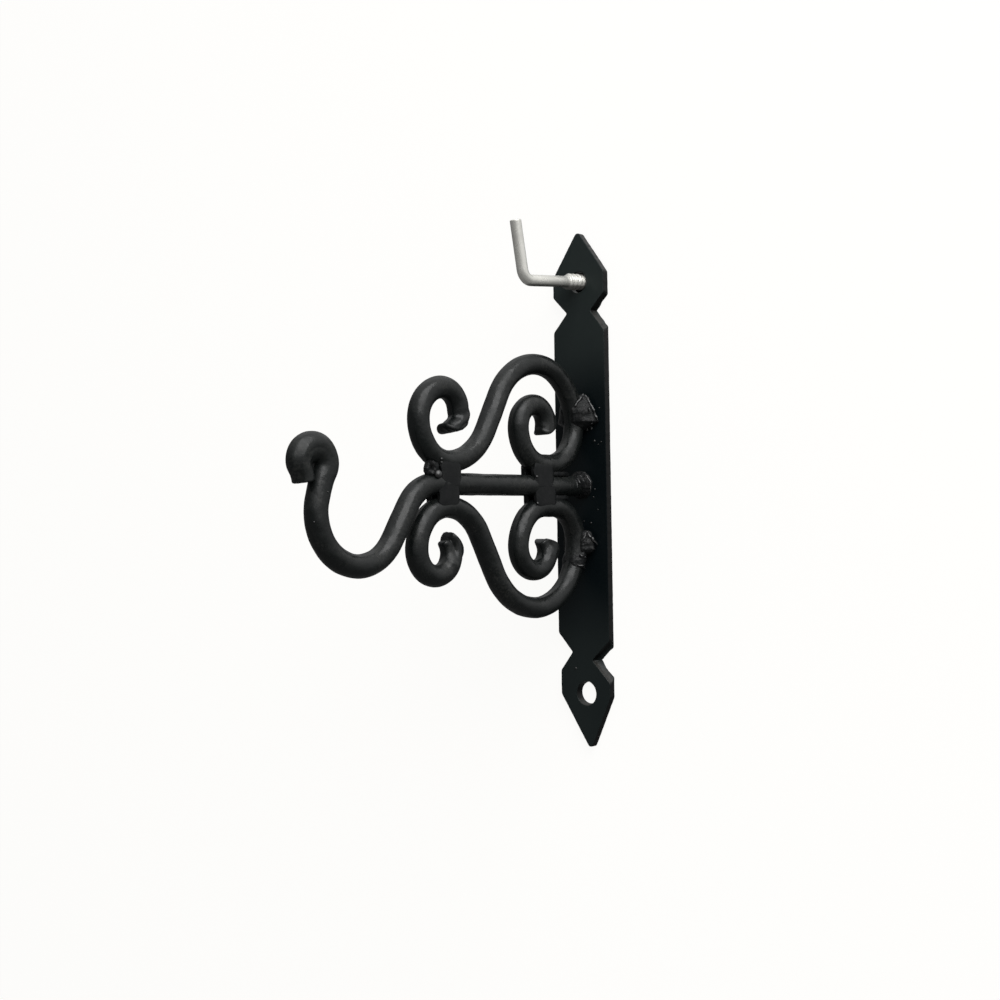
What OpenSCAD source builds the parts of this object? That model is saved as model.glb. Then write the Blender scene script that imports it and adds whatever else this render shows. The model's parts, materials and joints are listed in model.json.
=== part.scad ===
// Wrought iron wall bracket for a hanging lantern.
// A flat back plate with spear ends carries a round hook arm between two round bar scrolls.
// The bars lie in the plane X = 0 and are held to each other and to the plate by weld beads.
// A bright screw hook goes through the plate's upper hole into the wall.
// The wall is the plane Y = 0, the bracket stands out towards -Y, and Z is up.
// The origin is where the arm's axis meets the wall.

/* [Bar stock] */
// Diameter of the round bar in the arm and the scrolls
rod_d = 8; // [6:0.5:10]
// Space left where a bar lies against another bar or the plate
touch_gap = 0.1; // [0.05:0.05:0.3]
// Chamfer on a cut bar end
tip_bevel = 0.7; // [0.3:0.1:1.2]

/* [Back plate] */
// Width of the flat bar
plate_w = 25.5; // [22:0.5:32]
// Thickness of the flat bar
plate_t = 3; // [2:0.5:5]
// Height of the upper tip above the arm's axis
top_reach = 101; // [92:1:120]
// Depth of the lower tip below the arm's axis
low_reach = 103; // [96:1:120]
// Height of the upper point, from its tip down to its shoulder
top_point_h = 16.5; // [14:0.5:18]
// Height of the lower point, from its tip up to its shoulder
low_point_h = 20; // [16:0.5:22]
// Straight edge between a point and its notch
shoulder_h = 8; // [6:0.5:9]
// Height of the upper V notches along the edge
top_notch_h = 14; // [10:0.5:18]
// Height of the lower V notches along the edge
low_notch_h = 15; // [10:0.5:18]
// Width that is left between the upper V notches
top_neck_w = 11.8; // [9:0.2:16]
// Width that is left between the lower V notches
low_neck_w = 9.8; // [9:0.2:16]
// Width of the blunt end of each point
tip_w = 1.6; // [0.8:0.2:3]
// How far the hand cut lower tip lies to the right of the plate's middle
low_tip_drift = 2.6; // [0:0.2:4]
// How much narrower the lower spear is on its left side
low_left_trim = 1; // [0:0.2:2]
// How much higher the lower left notch is cut by hand, and how much lower the right one
low_notch_skew = 1.4; // [0:0.2:2.4]
// How far the lower neck lies to the left of the plate's middle
low_neck_drift = 0.8; // [0:0.2:2]

/* [Plate holes] */
// Diameter of the upper hole, for the screw hook
hook_hole_d = 8.8; // [8:0.1:10]
// Distance of the upper hole's centre below the upper tip
hook_hole_in = 19.6; // [17:0.1:22]
// Diameter of the lower hole, for a wall screw
wall_hole_d = 10; // [6:0.5:11]
// Distance of the lower hole's centre above the lower tip
wall_hole_in = 21; // [18:0.5:24]
// How far the lower hole lies to the right of the plate's middle
wall_hole_drift = 1; // [0:0.2:2]

/* [Both scrolls] */
// Height of an arch's centreline above the arm's axis
scroll_h = 46.5; // [44:0.5:52]
// Angle of the slanted run between the arm and the arch
scroll_slope = 61; // [55:1:66]
// Bend radius at the crest of the rear curl
rear_crest_r = 9; // [8:0.2:11]
// Bend radius of the front curl's eye
front_eye_r = 8; // [7:0.2:9]
// How far the rear curl's tip turns past its eye
rear_tip_turn = 28; // [10:1:40]
// How far the front curl's tip turns past its eye
front_tip_turn = 36; // [10:1:45]

/* [Upper scroll] */
// Bend radius where the slanted run leaves the arm
up_throat_r = 22.5; // [16:0.5:26]
// Bend radius of the arch on its front side
up_arch_r = 25; // [20:0.5:30]
// Bend radius of the arch on its wall side
up_back_r = 22.3; // [20:0.1:26]
// Length of bar that runs along the arm under the rear curl
up_rear_run = 3.4; // [1:0.2:8]
// Bend radius where the rear curl leaves the arm
up_rear_foot_r = 13.8; // [12:0.2:18]
// Bend radius of the rear curl's eye
up_rear_eye_r = 6.8; // [6:0.2:9]
// Bend radius where the front curl leaves the arm
up_front_foot_r = 14.3; // [12:0.1:16]
// Bend radius at the crest of the front curl
up_front_crest_r = 11.9; // [8.5:0.1:13]

/* [Lower scroll] */
// Bend radius where the slanted run leaves the arm
low_throat_r = 19; // [16:0.5:26]
// Bend radius of the arch on its front side
low_arch_r = 26.5; // [20:0.5:30]
// Bend radius of the arch on its wall side
low_back_r = 24.4; // [20:0.1:26]
// Length of bar that runs along the arm over the rear curl
low_rear_run = 5; // [1:0.2:8]
// Bend radius where the rear curl leaves the arm
low_rear_foot_r = 15.2; // [12:0.2:18]
// Bend radius of the rear curl's eye
low_rear_eye_r = 8; // [6:0.2:9]
// Bend radius where the front curl leaves the arm
low_front_foot_r = 15.1; // [12:0.1:16]
// Bend radius at the crest of the front curl
low_front_crest_r = 9.2; // [8.5:0.1:13]

/* [Hook arm] */
// Straight length of the arm in front of the plate
arm_run = 82; // [78:1:100]
// Radius of the bend down from the arm
drop_r = 16; // [12:0.5:20]
// Angle of the slanted run down to the hook
drop_angle = 57; // [50:1:62]
// Length of the slanted run
drop_run = 14.6; // [8:0.2:24]
// Radius of the round seat that carries the lantern's ring
seat_r = 18; // [14:0.5:24]
// How far the hook's stem leans back towards the wall
stem_lean = 15; // [8:1:20]
// Straight length of the stem
stem_run = 5.5; // [3:0.5:12]
// Radius of the bend above the stem
neck_r = 13; // [10:0.5:18]
// Angle of the bend above the stem
neck_turn = 14; // [5:1:20]
// Radius of the tight curl at the end
eye_r = 5.2; // [5:0.1:7]
// How far the end of the bar points below level
end_dip = 99; // [85:1:105]
// Straight length after the curl
end_run = 4; // [2:0.5:6]

/* [Welds] */
// Radius of the beads between the bars
bar_bead_r = 4.1; // [3.4:0.1:4.5]
// Length of the beads between the bars
bar_bead_l = 11.5; // [9:0.5:13]
// How far the front beads lie in front of where the bars touch
front_bead_shift = 1.5; // [0:0.5:2]
// How far the rear beads lie in front of where the bars touch
rear_bead_shift = 3; // [0:0.5:4]
// Radius of the lump of weld in the groove in front of the upper front beads
lump_r = 2.6; // [2.2:0.1:3.2]
// Width of that lump across the bars
lump_w = 6; // [4:0.5:7.5]
// Radius of the beads between a scroll and the plate
plate_bead_r = 4; // [3:0.1:4.5]
// Length of the beads between a scroll and the plate
plate_bead_l = 15; // [10:0.5:18]
// How far those beads lie on the arch's side of where the bar touches
plate_bead_shift = 4; // [0:0.5:6]
// Radius of the collar of weld round the arm's foot
foot_bead_r = 6.6; // [6.4:0.1:8]
// Height of that collar on the plate
foot_bead_h = 3.4; // [2:0.2:5]
// How far the collar sits above the arm's axis
foot_bead_rise = 1.8; // [0:0.2:2]

/* [Screw hook] */
// Wire diameter
wire_d = 4.4; // [3.6:0.1:4.4]
// Outside diameter of the thread
thread_d = 6.4; // [5.6:0.1:7]
// Core diameter of the thread
thread_core_d = 4.6; // [4.5:0.1:5]
// Pitch of the thread
thread_pitch = 2.5; // [2:0.1:3.6]
// Length of thread that shows in front of the plate
thread_out = 8; // [4:0.5:12]
// Length of thread behind the plate, in the wall
thread_in = 22; // [15:1:40]
// Length of the cone at the point
point_l = 5; // [3:0.5:8]
// Distance from the wall to the hook's corner
hook_out = 35.8; // [28:0.2:45]
// Length of the upright leg from the corner
hook_leg = 22.4; // [18:0.2:26]
// Bend radius at the corner
corner_r = 4.5; // [3.5:0.5:7]
// How far the shank droops below level
hook_droop = 6; // [0:1:8]
// Angle between the shank and the leg
hook_angle = 95; // [90:1:100]
// Space above the thread in the plate's upper hole
hang_gap = 0.9; // [0.4:0.1:1.2]

/* [Hidden] */
$fn = 64;

rod_r = rod_d / 2;
// How far a leg stops short of the ball that joins it to the next, and how far the ball stands proud
seam_gap = 0.2;
seam_rise = 0.03;
// Height of a scroll's centreline where it lies along the arm
lie_h = rod_d + touch_gap;
// Distance of a scroll's centreline from the wall where it lies along the plate
stand_off = plate_t + touch_gap + rod_r;

top_hole_z = top_reach - hook_hole_in;
low_hole_z = wall_hole_in - low_reach;
screw_z = top_hole_z + hook_hole_d / 2 - hang_gap - thread_d / 2;

// A bar is bent from a list of legs, each [radius, turn, length].
// A bend has a radius and a turn in degrees, and a straight has a length alone.
function bend(radius, turn) = [radius, turn, 0];
function straight(length) = [0, 0, length];

// Where a leg ends that starts at point p with heading h
function leg_centre(p, h, leg) = p + sign(leg[1]) * leg[0] * [-sin(h), cos(h)];
function leg_end(p, h, leg) =
    leg[0] > 0
    ? leg_centre(p, h, leg) + sign(leg[1]) * leg[0] * [sin(h + leg[1]), -cos(h + leg[1])]
    : p + leg[2] * [cos(h), sin(h)];

// Length of the slanted run that brings the arch to its height
function slant_run(throat_r, arch_r) =
    (scroll_h - lie_h - (throat_r + arch_r) * (1 - cos(scroll_slope))) / sin(scroll_slope);

// Distance from the wall at which a scroll first lies along the arm, in front of its slanted run
function front_touch(throat_r, arch_r, back_r) =
    stand_off + back_r + (throat_r + arch_r) * sin(scroll_slope)
    + slant_run(throat_r, arch_r) * cos(scroll_slope);

// Height at which a scroll touches the plate
function plate_touch(back_r) = scroll_h - back_r;

// Distance from the wall of the middle of the run under the rear curl
function rear_touch(back_r, rear_run) = stand_off + plate_touch(back_r) - lie_h + rear_run / 2;

up_front = front_touch(up_throat_r, up_arch_r, up_back_r);
low_front = front_touch(low_throat_r, low_arch_r, low_back_r);
up_rear = rear_touch(up_back_r, up_rear_run);
low_rear = rear_touch(low_back_r, low_rear_run);

// Turns a flat drawing so that its x points away from the wall and its y points up
module in_bar_plane() {
    rotate([90, 0, -90])
        children();
}

// Puts a solid's z axis on a heading in the bar plane
module heading(p, h) {
    translate([p[0], p[1], 0])
        rotate([0, 0, h])
            rotate([0, 90, 0])
                children();
}

// Ball that joins two legs, a hair larger than the bar so that it closes the seam
module seam_ball(d, p, h) {
    heading(p, h)
        sphere(d = d + 2 * seam_rise);
}

// One leg of a bar, held back by seam_gap from the balls at its start and its end
module leg_solid(d, p, h, leg, start_gap, end_gap) {
    if (leg[0] > 0) {
        c = leg_centre(p, h, leg);
        start_cut = start_gap / leg[0] * 180 / PI;
        end_cut = end_gap / leg[0] * 180 / PI;
        first = leg[1] > 0 ? h - 90 + start_cut : h + 90 + leg[1] + end_cut;
        translate([c[0], c[1], 0])
            rotate([0, 0, first])
                rotate_extrude(angle = abs(leg[1]) - start_cut - end_cut)
                    translate([leg[0], 0])
                        circle(d = d);
    } else {
        heading(p, h)
            translate([0, 0, start_gap])
                cylinder(d = d, h = leg[2] - start_gap - end_gap);
    }
}

// A whole bar of diameter d, leg by leg from point p and heading h, with a chamfered end
module bent_bar(d, legs, p, h, start_gap = 0, i = 0) {
    last = i == len(legs) - 1;
    q = leg_end(p, h, legs[i]);
    leg_solid(d, p, h, legs[i], start_gap, last ? 0 : seam_gap);
    if (last) {
        heading(q, h + legs[i][1])
            translate([0, 0, -seam_gap])
                cylinder(d1 = d - seam_rise, d2 = d - 2 * tip_bevel, h = tip_bevel + seam_gap);
    } else {
        seam_ball(d, q, h + legs[i][1]);
        bent_bar(d, legs, q, h + legs[i][1], seam_gap, i + 1);
    }
}

// A scroll, drawn upwards from the place where it lies along the arm
module scroll_bar(throat_r, arch_r, back_r, rear_run, rear_foot_r, rear_eye_r,
        front_foot_r, front_crest_r) {
    touch = [front_touch(throat_r, arch_r, back_r), lie_h];
    bent_bar(rod_d, [
        bend(throat_r, -scroll_slope),
        straight(slant_run(throat_r, arch_r)),
        bend(arch_r, scroll_slope),
        bend(back_r, 90),
        bend(plate_touch(back_r) - lie_h, 90),
        straight(rear_run),
        bend(rear_foot_r, 90),
        bend(rear_crest_r, 90),
        bend(rear_eye_r, 90 + rear_tip_turn)
    ], touch, 180, seam_gap);
    seam_ball(rod_d, touch, 0);
    bent_bar(rod_d, [
        bend(front_foot_r, 90),
        bend(front_crest_r, 90),
        bend(front_eye_r, 90 + front_tip_turn)
    ], touch, 0, seam_gap);
}

module upper_bar() {
    in_bar_plane()
        scroll_bar(up_throat_r, up_arch_r, up_back_r, up_rear_run,
            up_rear_foot_r, up_rear_eye_r, up_front_foot_r, up_front_crest_r);
}

module lower_bar() {
    mirror([0, 0, 1])
        in_bar_plane()
            scroll_bar(low_throat_r, low_arch_r, low_back_r, low_rear_run,
                low_rear_foot_r, low_rear_eye_r, low_front_foot_r, low_front_crest_r);
}

module scroll_at(level) {
    if (level > 0)
        upper_bar();
    else
        lower_bar();
}

module arm_bar() {
    in_bar_plane()
        bent_bar(rod_d, [
            straight(arm_run),
            bend(drop_r, -drop_angle),
            straight(drop_run),
            bend(seat_r, drop_angle + 90 + stem_lean),
            straight(stem_run),
            bend(neck_r, neck_turn),
            bend(eye_r, -(90 + stem_lean + neck_turn + end_dip)),
            straight(end_run)
        ], [plate_t, 0], 0);
}

// One edge of a spear end from its tip to the plate's body, on side +1 or -1
function spear_edge(side, tip, way, point_h, notch_h, neck_w, trim, skew, drift) = [
    [tip[0] + side * tip_w / 2, tip[1]],
    [side * (plate_w / 2 - trim), tip[1] - way * point_h],
    [side * (plate_w / 2 - trim), tip[1] - way * (point_h + shoulder_h) - side * skew],
    [side * neck_w / 2 - drift, tip[1] - way * (point_h + shoulder_h + notch_h / 2) - side * skew],
    [side * plate_w / 2, tip[1] - way * (point_h + shoulder_h + notch_h) - side * skew]
];

function top_edge(side) =
    spear_edge(side, [0, top_reach], 1, top_point_h, top_notch_h, top_neck_w, 0, 0, 0);

function low_edge(side) =
    spear_edge(side, [low_tip_drift, -low_reach], -1, low_point_h, low_notch_h, low_neck_w,
        side < 0 ? low_left_trim : 0, low_notch_skew, low_neck_drift);

function reversed(list) = [for (i = [len(list) - 1:-1:0]) list[i]];

module plate_outline() {
    polygon(concat(top_edge(1), reversed(low_edge(1)), low_edge(-1), reversed(top_edge(-1))));
}

// A hole through the plate, along Y
module plate_hole(d, x, z) {
    translate([x, 0, z])
        rotate([90, 0, 0])
            translate([0, 0, -1])
                cylinder(d = d, h = plate_t + 2);
}

module back_plate() {
    color("#1b1d1e")
        difference() {
            rotate([90, 0, 0])
                linear_extrude(plate_t)
                    plate_outline();
            plate_hole(hook_hole_d, 0, top_hole_z);
            plate_hole(wall_hole_d, wall_hole_drift, low_hole_z);
        }
}

module upper_scroll() {
    color("#232526")
        upper_bar();
}

module lower_scroll() {
    color("#232526")
        lower_bar();
}

module hook_arm() {
    color("#202223")
        arm_bar();
}

// A bead of weld metal along Z, centred, with coned ends
module bead(r, l) {
    half = [[r / 2, l / 2], [r, l / 2 - r / 2]];
    rotate_extrude()
        polygon(concat([[0, l / 2]], half, [for (q = reversed(half)) [q[0], -q[1]]], [[0, -l / 2]]));
}

// Distance from the plane of the bars at which a bead starts
bead_root = rod_r * 0.3;

// What lies more than bead_root to the left of the bars' plane, or its mirror image on the right
module one_side(side) {
    reach = 3 * rod_d;
    mirror([side > 0 ? 1 : 0, 0, 0])
        difference() {
            intersection() {
                children(0);
                translate([-bead_root - reach, -10 * reach, -5 * reach])
                    cube([reach, 10 * reach, 10 * reach]);
            }
            children(1);
        }
}

// A bead in the groove between the arm and a scroll, at distance y from the wall
module bar_bead(side, level, y) {
    color("#34383a")
        one_side(side) {
            translate([0, -y, level * lie_h / 2])
                rotate([90, 0, 0])
                    bead(bar_bead_r, bar_bead_l);
            union() {
                arm_bar();
                scroll_at(level);
            }
        }
}

// The lump of weld in the groove in front of the upper front beads, with a little space behind it
module front_weld_lump() {
    y = up_front + front_bead_shift + bar_bead_l / 2 + touch_gap + lump_r;
    color("#34383a")
        difference() {
            translate([0, -y, lie_h * 0.65])
                rotate([0, 90, 0])
                    bead(lump_r, lump_w);
            arm_bar();
            upper_bar();
        }
}

// A bead in the groove between the plate and a scroll, at height z
module plate_bead(side, level, z) {
    color("#34383a")
        one_side(side) {
            translate([-rod_r, -plate_t, level * z])
                bead(plate_bead_r, plate_bead_l);
            union() {
                translate([-plate_w, -plate_t, -low_reach])
                    cube([2 * plate_w, 3 * plate_t, low_reach + top_reach]);
                scroll_at(level);
            }
        }
}

// The collar of weld round the arm where it meets the plate, thicker above the arm
module arm_foot_weld() {
    color("#34383a")
        difference() {
            translate([0, -plate_t, foot_bead_rise])
                rotate([90, 0, 0])
                    cylinder(r1 = foot_bead_r, r2 = foot_bead_r - foot_bead_h / 2, h = foot_bead_h);
            arm_bar();
        }
}

// Outline of the threaded end, from its front end at y = 0 to its point
module thread_profile() {
    turns = floor((thread_out + plate_t + thread_in) / thread_pitch);
    core = thread_core_d / 2;
    crest = thread_d / 2;
    ridge = [[core, 0.2], [crest, 0.45], [crest, 0.6], [core, 0.85]];
    steps = [for (i = [0:turns - 1]) for (q = ridge) [q[0], (i + q[1]) * thread_pitch]];
    polygon(concat([[0, 0], [core, 0]], steps,
        [[core, turns * thread_pitch], [0, turns * thread_pitch + point_l]]));
}

// The screw hook, drawn from the front end of its thread
module screw_hook() {
    corner_turn = 180 - hook_angle;
    corner_cut = corner_r * tan(corner_turn / 2);
    front = [plate_t + thread_out, screw_z - (thread_out + plate_t / 2) * tan(hook_droop)];
    shank_run = (hook_out - front[0]) / cos(hook_droop) - corner_cut;
    // The wire starts this far inside the thread's core
    root = thread_pitch * 0.1;
    color("#c9cac6")
        in_bar_plane() {
            bent_bar(wire_d, [
                straight(shank_run + root),
                bend(corner_r, corner_turn),
                straight(hook_leg - corner_cut - tip_bevel)
            ], front - root * [cos(hook_droop), -sin(hook_droop)], -hook_droop);
            heading(front, 180 - hook_droop)
                rotate_extrude()
                    thread_profile();
        }
}

back_plate();
upper_scroll();
lower_scroll();
hook_arm();
screw_hook();
arm_foot_weld();
plate_bead(1, 1, plate_touch(up_back_r) + plate_bead_shift);  // upper_plate_weld_right
plate_bead(-1, 1, plate_touch(up_back_r) + plate_bead_shift);  // upper_plate_weld_left
plate_bead(1, -1, plate_touch(low_back_r) + plate_bead_shift);  // lower_plate_weld_right
plate_bead(-1, -1, plate_touch(low_back_r) + plate_bead_shift);  // lower_plate_weld_left
bar_bead(1, 1, up_front + front_bead_shift);  // front_upper_weld_right
bar_bead(-1, 1, up_front + front_bead_shift);  // front_upper_weld_left
bar_bead(1, -1, low_front + front_bead_shift);  // front_lower_weld_right
bar_bead(-1, -1, low_front + front_bead_shift);  // front_lower_weld_left
front_weld_lump();
bar_bead(1, 1, up_rear + rear_bead_shift);  // rear_upper_weld_right
bar_bead(-1, 1, up_rear + rear_bead_shift);  // rear_upper_weld_left
bar_bead(1, -1, low_rear + rear_bead_shift);  // rear_lower_weld_right
bar_bead(-1, -1, low_rear + rear_bead_shift);  // rear_lower_weld_left
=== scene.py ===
"""A lantern wall bracket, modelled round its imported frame.

The painted bars and plate, the welds and the screw hook each get a surface of their own. Lengths
are in metres. X is to the right of a person who faces the wall, Y goes into the wall, and Z is up.
A place in the bars' plane is written (out, up): its distance from the wall and its height above the
arm's axis.
"""

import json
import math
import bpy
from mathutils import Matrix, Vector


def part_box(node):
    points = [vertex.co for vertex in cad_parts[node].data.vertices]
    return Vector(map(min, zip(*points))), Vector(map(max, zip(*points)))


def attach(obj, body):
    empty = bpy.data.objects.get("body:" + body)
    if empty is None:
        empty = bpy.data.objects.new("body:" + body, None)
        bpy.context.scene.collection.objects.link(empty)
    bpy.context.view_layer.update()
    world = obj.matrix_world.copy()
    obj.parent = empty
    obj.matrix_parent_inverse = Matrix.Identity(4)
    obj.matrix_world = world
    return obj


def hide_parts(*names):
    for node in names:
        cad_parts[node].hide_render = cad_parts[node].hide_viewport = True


bl_info = {
    "name": "Lantern Wall Bracket",
    "version": (1, 0, 0),
    "blender": (4, 5, 0),
    "location": "3D View > Sidebar > Bracket",
    "description": "Models the painted bars, plate, welds and screw hook of a lantern wall bracket",
    "category": "Add Mesh",
}

import bmesh
import bpy
import numpy as np
from mathutils import Matrix, Vector

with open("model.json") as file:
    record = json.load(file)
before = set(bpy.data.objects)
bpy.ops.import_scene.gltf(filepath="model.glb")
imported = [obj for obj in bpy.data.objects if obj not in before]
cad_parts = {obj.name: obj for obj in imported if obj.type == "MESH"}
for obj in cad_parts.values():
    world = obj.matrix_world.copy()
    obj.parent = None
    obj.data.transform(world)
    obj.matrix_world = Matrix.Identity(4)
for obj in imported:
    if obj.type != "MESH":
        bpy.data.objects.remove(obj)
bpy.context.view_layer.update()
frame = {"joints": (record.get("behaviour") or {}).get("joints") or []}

PLATE_LOW, PLATE_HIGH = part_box("back_plate")
PLATE_T = PLATE_HIGH.y - PLATE_LOW.y
SIDE_X = np.array([1.0, 0.0, 0.0])
MILLI = 0.001
# Turns (across, out, up) into the row frame, where out is -Y
OUT_TO_Y = np.array([1, -1, 1])
# Points of a mesh that are nearer than this become one
HAIR = 2e-7
# The screw hook's joint: its axis runs down the shank and through the middle of the upper hole
HOOK_TURN = next(j for j in frame["joints"] if j["name"] == "screw_hook_turn")
HOOK_HEIGHT = HOOK_TURN["pos_m"][2]


def length(label, about, value):
    """A property for one length, shown in the scene's unit."""
    return bpy.props.FloatProperty(
        name=label, description=about, default=value, unit="LENGTH", precision=5
    )


def angle(label, about, degrees):
    """A property for one angle, given in degrees."""
    return bpy.props.FloatProperty(
        name=label, description=about, default=math.radians(degrees), unit="ROTATION"
    )


def amount(label, about, value):
    """A property for one plain number."""
    return bpy.props.FloatProperty(name=label, description=about, default=value)


def paint(label, about, value):
    """A property for one colour."""
    return bpy.props.FloatVectorProperty(
        name=label, description=about, default=value, subtype="COLOR", size=3, min=0, max=1
    )


class BracketStage(bpy.types.PropertyGroup):
    """Camera, lamps and backdrop."""

    camera_turn: angle("Camera turn", "How far the camera stands to the right of the front", 42)
    camera_rise: angle("Camera rise", "How far the camera looks down from level", -1.039)
    camera_roll: angle("Camera roll", "Roll of the camera about its own axis", -0.892)
    camera_place: bpy.props.FloatVectorProperty(
        name="Camera place",
        description="Where the camera stands",
        default=(0.32541, -0.41269, -0.0144),
        subtype="TRANSLATION",
        unit="LENGTH",
        size=3,
    )
    lens: amount("Lens", "Focal length in millimetres on a 36 mm sensor", 47.28)
    sky: amount("Sky", "Strength of the even light from all round", 0.22)
    dim: amount("Room", "Brightness of the room's dark side in reflections", 0.12)
    key: amount("Key", "Power of the soft lamp on the upper right, in watts", 14.0)
    backdrop: paint("Backdrop", "Colour of the wall and the floor", (0.95, 0.945, 0.93))
    floor_drop: length("Floor drop", "Depth of the floor below the arm's axis", 0.36)
    # A disc of this size on the backdrop is painted dark as the shade in the drilled hole
    drill_shade_d: length("Drilled hole", "Diameter of the hole drilled for the screw hook", 0.0094)


class BracketBars(bpy.types.PropertyGroup):
    """The round stock and how it was worked."""

    rod_d: length("Bar diameter", "Diameter of the round bar", 0.008)
    touch_gap: length("Touch gap", "Space where a bar lies along another or the plate", 0.0001)
    dent: length("Dents", "Depth of the shallow hammer dents", 0.00011)
    grain: length("Grain", "Height of the fine roughness of the scale under the paint", 0.000022)
    step: length("Step", "Distance between two rings of a bar's mesh", 0.0005)


def scroll_bends(throat, arch, back, run, foot, eye, front_foot, front_crest):
    """The properties of one scroll, from its sizes."""
    return {
        "throat_r": length("Throat", "Bend where the slanted run leaves the arm", throat),
        "arch_r": length("Arch", "Bend of the arch on its front side", arch),
        "back_r": length("Back", "Bend of the arch on its wall side", back),
        "rear_run": length("Rear run", "Straight bar along the arm at the rear curl", run),
        "rear_foot_r": length("Rear foot", "Bend where the rear curl leaves the arm", foot),
        "rear_eye_r": length("Rear eye", "Bend of the rear curl's eye", eye),
        "front_foot_r": length("Front foot", "Bend where the front curl leaves the arm", front_foot),
        "front_crest_r": length("Front crest", "Bend at the crest of the front curl", front_crest),
    }


class BracketUpperScroll(bpy.types.PropertyGroup):
    """Bend radii of the upper scroll."""

    __annotations__ = scroll_bends(0.0225, 0.025, 0.0223, 0.0034, 0.0138, 0.0068, 0.0143, 0.0119)


class BracketLowerScroll(bpy.types.PropertyGroup):
    """Bend radii of the lower scroll."""

    __annotations__ = scroll_bends(0.019, 0.0265, 0.0244, 0.005, 0.0152, 0.008, 0.0151, 0.0092)


class BracketScrolls(bpy.types.PropertyGroup):
    """What the two scrolls have alike."""

    height: length("Height", "Height of an arch's centreline above the arm's axis", 0.0465)
    slope: angle("Slope", "Slope of the slanted run", 61)
    rear_crest_r: length("Rear crest", "Bend at the crest of the rear curl", 0.009)
    front_eye_r: length("Front eye", "Bend of the front curl's eye", 0.008)
    rear_tip_turn: angle("Rear tip turn", "How far the rear tip turns past its eye", 28)
    front_tip_turn: angle("Front tip turn", "How far the front tip turns past its eye", 36)


class BracketArm(bpy.types.PropertyGroup):
    """The hook arm, from the plate to the tight curl at its end."""

    run: length("Run", "Straight arm in front of the plate", 0.082)
    drop_r: length("Drop bend", "Bend down from the arm", 0.016)
    drop_turn: angle("Drop turn", "Slope of the slanted run", 57)
    drop_run: length("Drop run", "Length of the slanted run", 0.0146)
    seat_r: length("Seat", "Bend of the hook's seat", 0.018)
    stem_lean: angle("Stem lean", "How far the stem leans back towards the wall", 15)
    stem_run: length("Stem run", "Straight part of the stem", 0.0055)
    neck_r: length("Neck bend", "Bend above the stem", 0.013)
    neck_turn: angle("Neck turn", "Angle of the bend above the stem", 14)
    eye_r: length("Eye", "Bend of the tight curl", 0.0052)
    end_dip: angle("End dip", "How far the end points below level", 99)
    end_run: length("End run", "Straight part after the curl", 0.004)


class BracketPlate(bpy.types.PropertyGroup):
    """Spear ends, notches and holes of the plate."""

    top_point_h: length("Upper point", "Height of the upper point, tip to shoulder", 0.0165)
    low_point_h: length("Lower point", "Height of the lower point, tip to shoulder", 0.020)
    shoulder_h: length("Shoulder", "Straight edge between a point and its notch", 0.008)
    top_notch_h: length("Upper notch", "Height of the upper notches", 0.014)
    low_notch_h: length("Lower notch", "Height of the lower notches", 0.015)
    top_neck_w: length("Upper neck", "Width left between the upper notches", 0.0118)
    low_neck_w: length("Lower neck", "Width left between the lower notches", 0.0098)
    tip_w: length("Tip", "Width of the blunt end of each point", 0.0016)
    low_tip_drift: length("Tip drift", "How far the lower tip lies to the right", 0.0026)
    low_left_trim: length("Left trim", "How much narrower the lower spear is at the left", 0.001)
    low_notch_skew: length("Notch skew", "How much higher the lower left notch is cut", 0.0014)
    low_neck_drift: length("Neck drift", "How far the lower neck lies to the left", 0.0008)
    hook_hole_d: length("Upper hole", "Diameter of the upper hole", 0.0088)
    hook_hole_in: length("Upper hole place", "Distance below the upper tip", 0.0196)
    wall_hole_d: length("Lower hole", "Diameter of the lower hole", 0.010)
    wall_hole_in: length("Lower hole place", "Distance above the lower tip", 0.021)
    wall_hole_drift: length("Hole drift", "How far the lower hole lies to the right", 0.001)
    edge_r: length("Edge", "Rounding of the painted edges", 0.00022)
    taper: length("Taper", "How much the lower hole's radius grows towards the wall", -0.0005)
    tear: length("Tear", "How far the metal is torn out at the back of a neck", 0.0009)
    ragged: length("Ragged", "How far the sheared back edge of a notch wanders", 0.00045)


class BracketScrewHook(bpy.types.PropertyGroup):
    """The square screw hook in the upper hole."""

    wire_d: length("Wire", "Wire diameter", 0.0044)
    thread_d: length("Thread", "Outside diameter of the thread", 0.0064)
    core_d: length("Core", "Core diameter of the thread", 0.0046)
    pitch: length("Pitch", "Pitch of the thread", 0.0025)
    thread_out: length("Thread in front", "Thread that shows in front of the plate", 0.008)
    thread_in: length("Thread in the wall", "Thread behind the plate", 0.022)
    point_l: length("Point", "Length of the cone at the point", 0.005)
    reach: length("Reach", "Distance from the wall to the corner", 0.0358)
    leg: length("Leg", "Length of the upright leg", 0.0224)
    corner_r: length("Corner", "Bend at the corner", 0.0045)
    droop: angle("Droop", "How far the shank droops below level", 6)
    corner: angle("Corner angle", "Angle between the shank and the leg", 95)


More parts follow.
